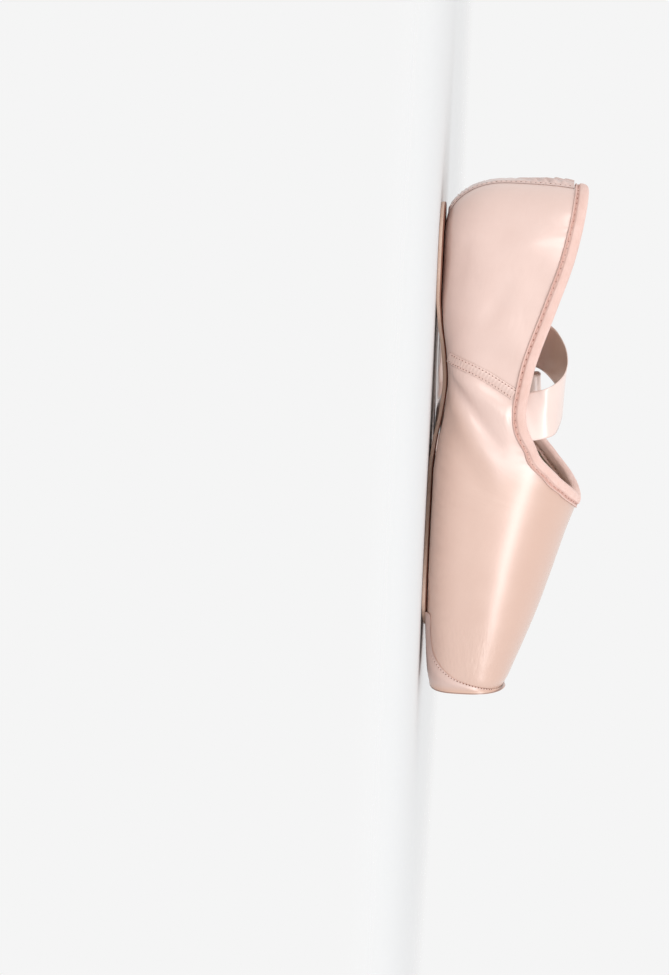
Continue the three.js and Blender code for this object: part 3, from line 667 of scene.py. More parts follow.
def make_insole(board):
    rows, across = 150, 30
    dish, bulge, bulge_up, narrowest = 0.25, 0.15, 0.6, 2
    s = spread(INSOLE["back"], INSOLE["front"], rows, "both")
    offset = -wall(s) - INSOLE["clearance"]
    bottom = underside(s) + wall(s) + GAP
    t = np.linspace(-1, 1, across + 1)
    loops, places = [], []
    for i in range(len(s)):
        wide = [max(float(half_at(s[i], bottom[i] + z, offset[i])), narrowest) for z in (0, INSOLE_THICKNESS)]
        hollow = dish * (1 - t ** 2) * (1 - (2 * i / rows - 1) ** 6)
        low = np.column_stack([t * wide[0], np.full(len(t), bottom[i])])
        high = np.column_stack([t[::-1] * wide[1], bottom[i] + INSOLE_THICKNESS - hollow[::-1]])
        bulging = bottom[i] + INSOLE_THICKNESS * bulge_up
        left, right = ([(way * (wide[1] + bulge), bulging)] for way in (1, -1))
        loop, place = section_places(s[i], np.concatenate([low, left, high, right]))
        loops.append(loop)
        places.append(place)
    return loop_strip("shoe_insole", np.array(loops), np.array(places), [board])


def collar_point(turn, share, outer, inner, shift):
    """A place on the last at the collar line moved up or down. share goes from the outer face of
    the wall, at 0, to its inner face, at 1."""
    def at(r):
        return COLLAR_CENTRE + r * COLLAR_REACH * np.cos(turn), r * COLLAR_HALF * np.sin(turn)

    def height(s, y):
        slope = slope_at(lambda near: collar_height(near, y), s)
        return collar_height(s, y) + shift * np.minimum(np.hypot(1, slope), STEEPEST)

    def outside(r):
        s, y = at(r)
        offset = mix(outer, -wall(s) - inner, share)
        return np.abs(y) - half_at(s, height(s, y), offset)

    s, y = at(crossing(outside, np.full(turn.shape, 0.3), 1.5))
    return np.stack([to_x(s), y, height(s, y)], -1)


BINDING_STEPS = 420
BINDING_POINTS = {"outside": 26, "over": 11, "inside": 18, "under": 5}


def binding_profile():
    """Points round the folded tape: share across the wall, distance off its outer and inner faces,
    and height above the collar line."""
    b, points = BINDING, BINDING_POINTS
    low, rim = -b["height"], b["rim"]
    stitched = low + b["stitch_up"]
    tuck = 0.05

    def full(shift):
        rise = smooth(low, low + b["step"], shift)
        groove = math.exp(-((shift - stitched) / b["groove_half"]) ** 4)
        up = min(max((shift - stitched) / (b["roll_end"] - stitched), 0), 1)
        return rise - b["groove"] * groove + b["roll"] * math.sin(math.pi * up) ** 0.8

    rows = [(0, mix(b["under"], b["outer"], full(shift)), b["inner"], shift)
            for shift in np.linspace(low, rim, points["outside"])]
    rows += [((1 - math.cos(turn)) / 2, b["outer"], b["inner"], rim + b["over"] * math.sin(turn))
             for turn in np.linspace(0, math.pi, points["over"])[1:-1]]
    rows += [(1, b["outer"], mix(b["inner_under"], b["inner"], full(shift)), shift)
             for shift in np.linspace(rim, low, points["inside"])]
    rows += [(1, b["under"], b["inner_under"], shift) for shift in np.linspace(low, rim, points["under"])]
    rows += [(0, b["under"] - tuck, b["inner_under"], shift)
             for shift in np.linspace(rim, low + 2 * tuck, points["under"])]
    return np.array(rows)


def make_binding(tape):
    profile = binding_profile()
    turn = 2 * math.pi * np.arange(BINDING_STEPS) / BINDING_STEPS
    grid_turn = np.repeat(turn[:, None], len(profile), 1)
    share, outer, inner, shift = (np.broadcast_to(profile[:, k], grid_turn.shape) for k in range(4))
    fine = 0.05 * np.sin(grid_turn * 61) * smooth(-2, BINDING["rim"], shift)
    broad = 0.06 * np.sin(grid_turn * 13 + 1)
    ripple = fine + broad
    loops = collar_point(grid_turn, share, outer + ripple * (share < 0.5), inner + ripple * 0.5, shift)
    across = girth(loops) / CM
    places = np.stack([np.broadcast_to(reach_along(loops[:, 0])[:, None] / CM, across.shape), across], -1)
    return ring_strip("shoe_collar_binding", loops, places, tape)


def below_binding(s):
    slope = slope_at(lambda near: collar_height(near, 0), s)
    y = half_at(s, collar_height(s, COLLAR_SIDE), 0)
    return collar_height(s, y) - (BINDING["height"] + 3 * GAP) * np.hypot(1, slope)


def spline(points, t):
    """A Catmull-Rom curve through points, with t from 0 to 1, and its direction."""
    points = np.asarray(points, float)
    last = len(points) - 1
    place = np.clip(np.asarray(t, float), 0, 1) * last
    i = np.minimum(place.astype(int), last - 1)
    w = (place - i)[..., None]
    a = points[np.maximum(i - 1, 0)]
    b, c = points[i], points[i + 1]
    d = points[np.minimum(i + 2, last)]
    v0, v1 = (c - a) / 2, (d - b) / 2
    at = (2 * b - 2 * c + v0 + v1) * w ** 3 + (-3 * b + 3 * c - 2 * v0 - v1) * w ** 2 + v0 * w + b
    way = 3 * (2 * b - 2 * c + v0 + v1) * w ** 2 + 2 * (-3 * b + 3 * c - 2 * v0 - v1) * w + v0
    return at, way / np.linalg.norm(way, axis=-1, keepdims=True)


def seam_ends():
    def above_sole(t):
        at = spline(SIDE_SEAM, t)[0]
        return at[..., 1] - underside(at[..., 0]) - 2 * GAP

    def under_collar(t):
        at = spline(SIDE_SEAM, t)[0]
        return at[..., 1] - below_binding(at[..., 0] + TAPE["half_width"]) - 1.2

    return float(crossing(above_sole, 0.0, 1.0)), float(crossing(under_collar, 0.0, 1.0))


def tape_place(t, across, side, above):
    """A place on the side of the shoe along the seam, across it, and above the satin."""
    at, way = spline(SIDE_SEAM, t)
    s = at[..., 0] + across * way[..., 1]
    z = at[..., 1] - across * way[..., 0]
    y = side * half_at(s, z, folds(s, z, side) + above)
    return np.stack([to_x(s), y, z], -1)


def two_faces(half, columns, under):
    """Places across a tape, over its face and back underneath, and which of them lie on the face."""
    face, back = np.linspace(-half, half, columns), np.linspace(half, -half, under)[1:-1]
    return np.concatenate([face, back]), np.arange(len(face) + len(back)) < columns


def make_side_tape(side, satin):
    rows, half = 130, TAPE["half_width"]
    t = np.linspace(*seam_ends(), rows)
    across, top = two_faces(half, 27, 7)
    grid_t = np.repeat(t[:, None], len(across), 1)
    x = np.broadcast_to(across, grid_t.shape)
    edge = smooth(half, half - TAPE["edge"], np.abs(x))
    distance = reach_along(tape_place(t, 0 * t, side, 0.0))
    pucker = np.cos(2 * math.pi * distance / TAPE["pitch"])[:, None]
    sewn = sum(np.exp(-((x - r) / TAPE["groove_half"]) ** 2) for r in TAPE["stitch_rows"])
    face = (TAPE["rise"] + TAPE["full"] * edge + TAPE["pucker"] * pucker * (1 - sewn)
            - TAPE["groove"] * sewn)
    loops = tape_place(grid_t, x, side, np.where(top, face, TAPE["under"]))
    if side < 0:
        loops = loops[:, ::-1]
    places = np.stack([grid_t * TAPE["length_cm"], x / CM], -1)
    return loop_strip(f"shoe_side_seam_tape_{'left' if side > 0 else 'right'}", loops, places, [satin])


def back_place(across, z, above):
    """A place on the back of the heel, across it, at a height and above the satin."""
    def beyond(s):
        return half_at(s, z, above) - np.abs(across)

    s = crossing(beyond, -above - 0.1, np.full(np.shape(z), HEEL_CAP * 1.0))
    return np.stack([to_x(s), across, z], -1)


def strip_wrinkles(x, z):
    """The gathers of the heel strip: strong below the collar, and fading down to the sole."""
    high = float(below_binding(STRIP["half_width"]))
    top = smooth(high - 30, high - 8, z)
    slanted = z + 0.45 * x + 1.1 * np.sin(x * 0.6)
    gathers = np.abs(np.sin(slanted * 0.62)) ** 0.7 + 0.45 * np.sin(slanted * 1.5 + x * 0.4 + 1) - 0.5
    middle = smooth(STRIP["half_width"] - 0.5, STRIP["half_width"] - 2.8, np.abs(x))
    return (gathers * (0.12 + 0.85 * top) + 0.07 * np.sin(z * 0.7 + x) + 0.75 * top + 0.15) * middle


def make_heel_strip(satin):
    rows, half = 190, STRIP["half_width"]
    z = np.linspace(STRIP["low"], float(below_binding(half)) + STRIP["over"], rows)
    across, top = two_faces(-half, 45, 9)
    grid_z = np.repeat(z[:, None], len(across), 1)
    x = np.broadcast_to(across, grid_z.shape)
    edge = smooth(half, half - STRIP["edge"], np.abs(x))
    sewn = np.exp(-((np.abs(x) - (half - STRIP["stitched"])) / STRIP["groove_half"]) ** 2)
    face = STRIP["rise"] + STRIP["cloth"] * edge + strip_wrinkles(x, grid_z) - STRIP["groove"] * sewn
    loops = back_place(x, grid_z, np.where(top, face, STRIP["under"]))
    return loop_strip("shoe_heel_strip", loops, np.stack([x, grid_z], -1) / CM, [satin])


def panel_offset(offset, from_edge):
    """How far a face of the panel stands off the last: it thins towards its sewn edge."""
    edge_offset = PANEL["edge_inner"] if offset < PANEL["gap"] else PANEL["edge"]
    return mix(edge_offset, offset, smooth(0, PANEL["thins_over"], from_edge))


def panel_layer(offset, columns):
    end = SOLE_ENDS["front"] + GAP
    notch, onward = 14, 44
    s = np.concatenate([spread(PANEL["start"], end, notch, "last"),
                        spread(end, PLATFORM + offset, onward, "last")[1:]])
    each = np.full(s.shape, float(offset))
    row = np.arange(len(s))
    top = np.where(row == len(s) - 1, math.pi, angle_at(s, along(PANEL_EDGE, "z", s), each))
    start = np.where(row >= notch, 0.0, under_angle(s, sole_half(s - GAP) + GAP, each))
    angles = even_angles(s, each, start, top, columns)
    reach = girth(last_point(s[:, None], angles, each[:, None]))
    thinned = panel_offset(offset, reach[:, -1:] - reach)
    grid = last_point(s[:, None], angles, thinned)
    grid[..., 0] = to_x(s)[:, None]
    grid[notch:, 0, 1] = 0
    grid[-1, -1, 1] = 0
    return with_pole(grid, PLATFORM + offset), notch


def make_toe_panel(satin):
    cloth = Cloth()
    columns = 60
    outer, notch = panel_layer(PANEL["gap"] + PANEL["cloth"], columns)
    inner, notch = panel_layer(PANEL["inside"], columns)
    last = len(outer) - 1
    for side in (1, -1):
        sewn_wall(cloth, (outer, inner), (0, notch), (0, last - 1), side, start_rim=True)
    return cloth.made("shoe_toe_underpanel", [satin, satin])


def loose_curve(points, t):
    """A centripetal Catmull-Rom curve through points, with t from 0 to 1, and its direction."""
    ends = (2 * points[0] - points[1], 2 * points[-1] - points[-2])
    padded = np.concatenate([[ends[0]], points, [ends[1]]])
    last = len(points) - 1
    place = np.clip(t, 0, 1) * last
    i = np.minimum(place.astype(int), last - 1)
    w = (place - i)[:, None]
    a, b, c, d = (padded[i + k] for k in range(4))
    ab, bc, cd = (np.sqrt(np.linalg.norm(q - p, axis=1, keepdims=True)) for p, q in ((a, b), (b, c), (c, d)))
    v0 = ((b - a) / ab - (c - a) / (ab + bc) + (c - b) / bc) * bc
    v1 = ((c - b) / bc - (d - b) / (bc + cd) + (d - c) / cd) * bc
    square, cube = -3 * b + 3 * c - 2 * v0 - v1, 2 * b - 2 * c + v0 + v1
    way = v0 + 2 * square * w + 3 * cube * w ** 2
    return b + v0 * w + square * w ** 2 + cube * w ** 3, way / np.linalg.norm(way, axis=1, keepdims=True)


def ribbon_frames(rows, count):
    """Centre, direction, width and face of a ribbon at evenly spaced steps of its rows."""
    table = np.array(rows, float)
    points = np.column_stack([to_x(table[:, 0]), table[:, 1], table[:, 2]])
    t = np.linspace(0, 1, count)
    at, way = loose_curve(points, t)
    last = len(rows) - 1
    place = t * last
    bearing, tilt = (np.radians(np.interp(place, np.arange(last + 1), table[:, k])) for k in (3, 4))
    flat = np.cos(tilt)
    width = np.column_stack([flat * np.cos(bearing), flat * np.sin(bearing), np.sin(tilt)])
    width -= (width * way).sum(1, keepdims=True) * way
    width /= np.linalg.norm(width, axis=1, keepdims=True)
    face = np.cross(way, width)
    hangs = (np.abs(width[:, 2]) * RIBBON["half_width"]
             + np.abs(face[:, 2]) * RIBBON["cad_half_thickness"])
    at[:, 2] += np.maximum(RIBBON["clear"] + hangs - at[:, 2], 0)
    return at, way, width, face


def make_ribbon(name, rows, satin):
    count, columns = 640, 21
    at, way, width, face = ribbon_frames(rows, count)
    across = np.linspace(-1, 1, columns)
    edges = np.concatenate([across, across[::-1]])
    over = np.concatenate([np.ones(columns), -np.ones(columns)])
    curl = RIBBON["curl"] * (1 - edges ** 2)
    selvedge = 0.05 * np.exp(-((np.abs(edges) - 0.95) / 0.04) ** 2)
    far = (over * (RIBBON["half_thickness"] + selvedge) + curl)[None, :, None]
    sideways = (edges * RIBBON["half_width"])[None, :]
    loops = at[:, None] + width[:, None] * sideways[..., None] + face[:, None] * far
    length = reach_along(at)
    places = np.stack(np.broadcast_arrays(length[:, None], sideways), -1) / CM
    made = loop_strip(name, loops, places, [satin])
    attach(made, "root")
    (at[0] * MM).tolist()
    (at[::4] * MM).tolist()
    return made


# Finishes

def tone(red, green, blue):
    """A colour given as it looks on a screen, from 0 to 255, as the shader's own numbers."""
    def straight(value):
        value /= 255
        return value / 12.92 if value <= 0.04045 else ((value + 0.055) / 1.055) ** 2.4

    return (straight(red), straight(green), straight(blue), 1)


class Value:
    """A number that changes over a surface, with Python's own signs for sums."""

    def __init__(self, tree, socket):
        self.tree, self.socket = tree, socket

    def sum(self, operation, a, b):
        node = self.tree.node("ShaderNodeMath", {"operation": operation}, {0: a, 1: b})
        return Value(self.tree, node.outputs[0])

    def __add__(self, other):
        return self.sum("ADD", self, other)

    __radd__ = __add__

    def __sub__(self, other):
        return self.sum("SUBTRACT", self, other)

    def __rsub__(self, other):
        return self.sum("SUBTRACT", other, self)

    def __mul__(self, other):
        return self.sum("MULTIPLY", self, other)

    __rmul__ = __mul__

    def __truediv__(self, other):
        return self.sum("DIVIDE", self, other)

    def __rtruediv__(self, other):
        return self.sum("DIVIDE", other, self)

    def smooth(self, low, high):
        node = self.tree.node("ShaderNodeMapRange", {"interpolation_type": "SMOOTHSTEP"},
                              {"Value": self, "From Min": low, "From Max": high})
        return Value(self.tree, node.outputs[0])


class Nodes:
    """A tree of nodes. A node gets its settings first, then its values and links."""

    def node(self, kind, settings=None, sockets=None):
        made = self.tree.nodes.new(kind)
        for name, value in (settings or {}).items():
            setattr(made, name, value)
        for name, value in (sockets or {}).items():
            self.put(made.inputs[name], value)
        return made

    def put(self, socket, value):
        if isinstance(value, Value):
            self.tree.links.new(value.socket, socket)
        elif isinstance(value, bpy.types.NodeSocket):
            self.tree.links.new(value, socket)
        else:
            socket.default_value = value

    def part(self, vector, axis):
        split = self.node("ShaderNodeSeparateXYZ", {}, {0: vector})
        return Value(self, split.outputs[axis])


class Finish(Nodes):
    """A material, with its nodes."""

    def __init__(self, name, **constants):
        self.material = bpy.data.materials.new(name)
        self.material.use_nodes = True
        self.tree = self.material.node_tree
        self.tree.nodes.clear()
        out = self.node("ShaderNodeOutputMaterial")
        self.shader = self.node("ShaderNodeBsdfPrincipled", {}, constants)
        self.tree.links.new(self.shader.outputs[0], out.inputs[0])

    def cloth_place(self):
        return self.node("ShaderNodeUVMap", {"uv_map": "UVMap"}).outputs[0]

    def object_place(self):
        return self.node("ShaderNodeTexCoord").outputs["Object"]

    def along_shoe(self):
        """How far along the shoe a place is, in millimetres."""
        return self.part(self.object_place(), 0) / MM + MIDDLE

    def height(self):
        return self.part(self.object_place(), 2) / MM

    def noise(self, place, scale, detail=2.0, roughness=0.5):
        stretched = self.node("ShaderNodeMapping", {}, {"Vector": place, "Scale": scale})
        made = self.node("ShaderNodeTexNoise", {}, {"Vector": stretched.outputs[0], "Scale": 1.0,
                                                    "Detail": detail, "Roughness": roughness})
        return Value(self, made.outputs[0])

    def waves(self, place, scale, direction="X"):
        made = self.node("ShaderNodeTexWave", {"bands_direction": direction},
                         {"Vector": place, "Scale": scale})
        return Value(self, made.outputs[1])

    def blend(self, a, b, share):
        made = self.node("ShaderNodeMix", {"data_type": "RGBA"}, {0: share, 6: a, 7: b})
        return made.outputs[2]

    def bump(self, height, depth, strength=1.0, before=None):
        sockets = {"Height": height, "Distance": depth, "Strength": strength}
        if before is not None:
            sockets["Normal"] = before
        return self.node("ShaderNodeBump", {}, sockets).outputs[0]

    def wear(self, **sockets):
        for name, value in sockets.items():
            self.put(self.shader.inputs[name.replace("_", " ")], value)


class Marks(Nodes):
    """Small marks set on points: stitches, dark marks that paint the shadow in each pinhole, and pressed
    strokes. Each point says which way its mark runs, which way it faces and how long it is of the full
    length."""

    SIZES = {"Length": 1.0, "Width": 0.3, "Height": 0.3, "Bend": 0.0, "Sink": 0.0, "Unevenness": 0.0}

    def __init__(self):
        self.tree = bpy.data.node_groups.new("small_marks", "GeometryNodeTree")
        self.inputs = {}
        self.socket("Geometry", "Geometry", "OUTPUT")
        self.socket("Points", "Geometry")
        for name, value in self.SIZES.items():
            self.socket(name, "Float").default_value = value
        self.socket("Seed", "Int")
        self.socket("Material", "Material")
        self.given = self.node("NodeGroupInput").outputs
        size = (1 + self.random(1.0, 2)) * Value(self, self.attribute("size", "FLOAT"))
        each = self.node("ShaderNodeCombineXYZ", {}, {0: size, 1: 1.0, 2: 1.0})
        set_on = self.node("GeometryNodeInstanceOnPoints", {}, {
            "Points": self.given["Points"], "Instance": self.lens(), "Rotation": self.turned(),
            "Scale": each.outputs[0]})
        real = self.node("GeometryNodeRealizeInstances", {}, {0: set_on.outputs[0]})
        round_off = self.node("GeometryNodeSetShadeSmooth", {}, {"Geometry": real.outputs[0]})
        dressed = self.node("GeometryNodeSetMaterial", {}, {"Geometry": round_off.outputs[0],
                                                            "Material": self.given["Material"]})
        self.node("NodeGroupOutput", {}, {0: dressed.outputs[0]})

    def lens(self):
        """A lens of the mark's size, bent sideways and sunk towards its ends."""
        length, width, height = (self.value(name) * MM / 2 for name in ("Length", "Width", "Height"))
        ball = self.node("GeometryNodeMeshUVSphere", {}, {"Segments": 8, "Rings": 6, "Radius": 1.0})
        lying = self.node("GeometryNodeTransform", {}, {"Geometry": ball.outputs[0],
                                                        "Rotation": (0, math.pi / 2, 0)})
        scale = self.node("ShaderNodeCombineXYZ", {}, {0: length, 1: width, 2: height})
        lens = self.node("GeometryNodeTransform", {}, {"Geometry": lying.outputs[0],
                                                       "Scale": scale.outputs[0]})
        from_middle = self.part(self.node("GeometryNodeInputPosition").outputs[0], 0) / length
        square = from_middle * from_middle
        shift = self.node("ShaderNodeCombineXYZ", {}, {1: (1 - square) * self.value("Bend") * MM,
                                                       2: square * self.value("Sink") * -MM})
        return self.node("GeometryNodeSetPosition", {}, {"Geometry": lens.outputs[0],
                                                         "Offset": shift.outputs[0]}).outputs[0]

    def turned(self):
        """The turn that lays a mark along its way and on its surface, a little askew."""
        way, out = (self.attribute(name, "FLOAT_VECTOR") for name in ("way", "out"))
        facing = self.node("FunctionNodeAlignRotationToVector", {"axis": "Z"}, {"Vector": out})
        along_way = self.node("FunctionNodeAlignRotationToVector", {"axis": "X", "pivot_axis": "Z"},
                              {"Rotation": facing.outputs[0], "Vector": way})
        askew = self.node("ShaderNodeCombineXYZ", {}, {2: self.random(0.5, 1)})
        euler = self.node("FunctionNodeEulerToRotation", {}, {0: askew.outputs[0]})
        return self.node("FunctionNodeRotateRotation", {"rotation_space": "LOCAL"},
                         {0: along_way.outputs[0], 1: euler.outputs[0]}).outputs[0]

    def value(self, name):
        return Value(self, self.given[name])

    def socket(self, name, kind, way="INPUT"):
        made = self.tree.interface.new_socket(name, in_out=way, socket_type="NodeSocket" + kind)
        if way == "INPUT":
            self.inputs[name] = made
        return made

    def attribute(self, name, kind):
        return self.node("GeometryNodeInputNamedAttribute", {"data_type": kind}, {"Name": name}).outputs[0]

    def random(self, share, salt):
        """A number either side of 0, as far as the marks' unevenness times a share."""
        most = self.value("Unevenness") * share
        made = self.node("FunctionNodeRandomValue", {"data_type": "FLOAT"},
                         {2: most * -1, 3: most, 8: self.value("Seed") + salt})
        return Value(self, made.outputs[1])

    def set_on(self, name, points, ways, outs, sizes, material, seed, **values):
        mesh = bpy.data.meshes.new(name)
        mesh.from_pydata((points * MM).tolist(), [], [])
        for key, kind, field, data in (("way", "FLOAT_VECTOR", "vector", ways),
                                       ("out", "FLOAT_VECTOR", "vector", outs),
                                       ("size", "FLOAT", "value", sizes)):
            layer = mesh.attributes.new(key, kind, "POINT")
            layer.data.foreach_set(field, np.asarray(data, np.float32).ravel())
        base = show(bpy.data.objects.new(name + "_points", mesh))
        modifier = base.modifiers.new("marks", "NODES")
        modifier.node_group = self.tree
        for key, value in {"Seed": seed, "Material": material, **values}.items():
            modifier[self.inputs[key].identifier] = value
        bpy.context.view_layer.update()
        seen = base.evaluated_get(bpy.context.evaluated_depsgraph_get())
        real = bpy.data.meshes.new_from_object(seen)
        bpy.data.objects.remove(base)
        real.name = name
        return show(bpy.data.objects.new(name, real))


def vamp_shade_share(f):
    """0 on the quarters and up to the broad fold at the waist, which keep the lighter tones of painted light,
    and 1 on the vamp, whose darker tones paint shade.
    """
    s = f.along_shoe()
    beyond_fold = (s - 1.5 * f.height()).smooth(72, 88)
    return beyond_fold.sum("MAXIMUM", beyond_fold, s.smooth(120, 136))


def crown_shade_share(f):
    """0 at the sides of the vamp and 1 along its top, where a darker tan paints shade."""
    return (f.height() + 0.22 * (f.along_shoe() - 140)).smooth(40, 58)


def rim_wear_and_shadow_line(f):
    """A tan tint of wear towards the platform's edge, and a thin dark line along the edge itself that paints
    its shadow.
    """
    s = f.along_shoe()
    edge = PLATFORM + PANEL["gap"] + PANEL["cloth"]
    short_of_edge = 1 - s.smooth(edge - 0.2, edge - 0.05)
    tint = s.smooth(edge - 4.5, edge - 0.6) * short_of_edge
    # The thin dark line paints the shadow at the platform's edge.
    line = s.smooth(edge - 0.75, edge - 0.45) * short_of_edge
    return tint * 0.55, line * 0.8


def satin_finish(name, light, deep, roughness, threads=(1.2, 34, 1), vamp=None, rim=None):
    f = Finish(name, **{"Metallic": 0.12, "Anisotropic": 0.5, "Specular IOR Level": 0.8,
                        "Coat Weight": 0.9, "Coat Roughness": 0.27, "Coat IOR": 1.6})
    place = f.cloth_place()
    thread = f.noise(place, threads, 3, 0.6)
    cloudy = f.noise(place, (0.7, 0.7, 1), 3, 0.55)
    mottled = (cloudy * 0.8 + thread * 0.5 - 0.15).smooth(0, 1)
    colour = f.blend(deep, light, mottled)
    # The vamp is painted in darker tones than the quarters and the waist: painted shade against painted
    # light.
    if vamp:
        colour = f.blend(colour, f.blend(*vamp[:2], mottled), vamp_shade_share(f))
        # Along the top of the vamp the darkest tone paints shade.
        colour = f.blend(colour, vamp[2], vamp_shade_share(f) * crown_shade_share(f) * 0.6)
    # Near the platform's edge: a tan tint of wear, then a thin dark line of painted shadow.
    if rim:
        for tint, share in zip(rim, rim_wear_and_shadow_line(f)):
            colour = f.blend(colour, tint, share)
    f.wear(Base_Color=colour,
           Roughness=roughness + (thread - 0.5) * 0.16 + (cloudy - 0.5) * 0.08)
    ripple = f.bump(cloudy, 0.0004, 0.3)
    if vamp:
        drawn = f.noise(f.object_place(), (70, 800, 800), 2, 0.5)
        ripple = f.bump(drawn * f.along_shoe().smooth(192, 216), 0.0004, 0.55, ripple)
    f.wear(Normal=f.bump(thread, 0.000016, 0.5, ripple))
    return f.material


def cotton_finish(name, light, deep, threads, depth=0.00008, groove=None):
    f = Finish(name, **{"Sheen Weight": 0.25, "Sheen Roughness": 0.6, "Specular IOR Level": 0.3})
    place = f.cloth_place()
    warp, weft = f.waves(place, threads, "X"), f.waves(place, threads, "Y")
    weave = warp * 0.5 + weft * 0.5
    uneven = f.noise(place, (1.4, 1.4, 1), 4, 0.6)
    colour = f.blend(deep, light, (weave * 0.35 + uneven * 0.9 - 0.1).smooth(0.05, 0.95))
    # The darker groove colour paints the shade in the binding's groove.
    if groove:
        across = f.part(place, 1)
        colour = f.blend(colour, groove, across.smooth(0.1, 0.17) * (1 - across.smooth(0.25, 0.34)) * 0.6)
    f.wear(Base_Color=colour,
           Roughness=0.82 + (uneven - 0.5) * 0.1,
           Normal=f.bump(weave + uneven * 0.6, depth, 0.7))
    return f.material


def leather_finish():
    f = Finish("sole_leather", **{"Specular IOR Level": 0.35, "Sheen Weight": 0.1})
    place = f.object_place()
    nap = f.noise(place, (900, 900, 900), 4, 0.6)
    patches = f.noise(place, (40, 60, 60), 3, 0.55)
    rubbed = (nap * 0.4 + patches).smooth(0.35, 1.05)
    f.wear(Base_Color=f.blend(tone(196, 164, 144), tone(220, 192, 176), rubbed),
           Roughness=0.72 + (nap - 0.5) * 0.2,
           Normal=f.bump(nap, 0.0001, 0.5))
    return f.material


def plain_finish(name, colour, roughness, speckle=0.15):
    f = Finish(name, **{"Specular IOR Level": 0.35})
    grain = f.noise(f.object_place(), (1400, 1400, 1400), 2, 0.5)
    dark = tuple(c * (1 - speckle) for c in colour[:3]) + (1,)
    f.wear(Base_Color=f.blend(dark, colour, grain), Roughness=roughness + (grain - 0.5) * 0.1)
    return f.material


# The quarters' lighter tones are painted light, and the vamp's darker tones are painted shade, the darkest of
# them along the crown.
SATIN = satin_finish("peach_satin", tone(231, 201, 190), tone(224, 192, 180), 0.37,
                     vamp=(tone(214, 178, 162), tone(221, 187, 171), tone(206, 166, 146)))
# The toe panel's darker tones paint the shade of its downward face. Near the platform's edge it has a tan
# tint of wear and a thin dark line of painted shadow.
PANEL_SATIN_SHADE_AND_WEAR = satin_finish("toe_satin_shade_and_wear", tone(219, 188, 177), tone(212, 180, 168), 0.42,
                           rim=(tone(214, 166, 136), tone(122, 84, 68)))
STRIP_SATIN = satin_finish("mauve_satin", tone(220, 193, 184), tone(206, 177, 168), 0.36)
RIBBON_SATIN = satin_finish("ribbon_satin", tone(240, 216, 206), tone(232, 204, 194), 0.42, (34, 1.2, 1))
# The binding's groove colour is painted shade.
BINDING_COTTON = cotton_finish("binding_cotton", tone(243, 209, 198), tone(230, 188, 174), 22,
                               groove=tone(204, 150, 134))
LINING_CANVAS = cotton_finish("lining_canvas", tone(238, 228, 212), tone(222, 208, 188), 16, 0.00014)
INSOLE_CLOTH = cotton_finish("insole_cloth", tone(228, 210, 190), tone(208, 186, 164), 12, 0.00012)
LEATHER = leather_finish()
DARK_EDGE = plain_finish("dark_sole_edge", tone(132, 84, 66), 0.6)
THREAD = plain_finish("pale_thread", tone(240, 208, 196), 0.55)
# A dark colour that paints the shadow inside each pinhole.
PINHOLE_SHADE = plain_finish("pinhole_shadow", tone(142, 96, 82), 0.9)
STROKE = plain_finish("pressed_stroke", tone(140, 106, 84), 0.65)


def finish_piece(piece, slot, *nodes):
    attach(piece, "root")
    if nodes:
        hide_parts(*nodes)


ribbon_right = make_ribbon("shoe_ribbon_right", RIBBON_RIGHT, RIBBON_SATIN)
ribbon_left = make_ribbon("shoe_ribbon_left", RIBBON_LEFT, RIBBON_SATIN)
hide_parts("ribbon_right")
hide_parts("ribbon_left")
finish_piece(make_upper(SATIN, LINING_CANVAS), "satin", "upper")
finish_piece(make_outsole(LEATHER, DARK_EDGE), "sole", "outsole")
finish_piece(make_insole(INSOLE_CLOTH), "board", "insole")
finish_piece(make_binding(BINDING_COTTON), "binding", "collar_binding")
finish_piece(make_side_tape(1, SATIN), "satin", "side_seam_tape_left")
finish_piece(make_side_tape(-1, SATIN), "satin", "side_seam_tape_right")
finish_piece(make_heel_strip(STRIP_SATIN), "strip", "heel_strip")
finish_piece(make_toe_panel(PANEL_SATIN_SHADE_AND_WEAR), "satin", "toe_underpanel")


# Stitches, painted pinhole shadows and pressed strokes

MARKS = Marks()
THREAD_SIZE = {"Width": 0.34, "Height": 0.34, "Sink": 0.12, "Unevenness": 0.12}
PINHOLE_SIZE = {"Length": 0.62, "Width": 0.5, "Height": 0.24, "Unevenness": 0.2}
STROKE_SIZE = {"Length": 5.1, "Width": 0.9, "Height": 0.2, "Bend": 0.3, "Unevenness": 0.06}


def unit(vectors):
    return vectors / np.linalg.norm(vectors, axis=-1, keepdims=True)


def stitch_row(place, start, end, pitch, above, shift=0.0):
    """Places, ways and facings at an even pitch along a line on a surface. place gives a point of
    the line at a height above the surface."""
    fine, facing = 1600, 0.3
    t = np.linspace(start, end, fine)
    reach = reach_along(place(t, above))
    count = max(int(reach[-1] / pitch), 1)
    at = np.interp((np.arange(count) + 0.5 + shift) * reach[-1] / count, reach, t)
    points = place(at, above)
    near = 1e-3 * (end - start)
    ways = unit(place(at + near, above) - place(at - near, above))
    outs = unit(place(at, above + facing) - points)
    return points, ways, outs


def sew(name, rows, slot, length, seed):
    """A piece of stitches along rows, and one of dark marks between them that paint the shadow in each
    pinhole.
    """
    for kind, shift, material, sizes in (("stitches", 0.0, THREAD, {**THREAD_SIZE, "Length": length}),
                                         ("pinhole_shade_marks", 0.5, PINHOLE_SHADE, PINHOLE_SIZE)):
        laid = [stitch_row(*row, shift=shift) for row in rows]
        points, ways, outs = (np.concatenate([row[k] for row in laid]) for k in range(3))
        made = MARKS.set_on(f"{name}_{kind}", points, ways, outs, np.ones(len(points)), material,
                            seed, **sizes)
        finish_piece(made, slot)


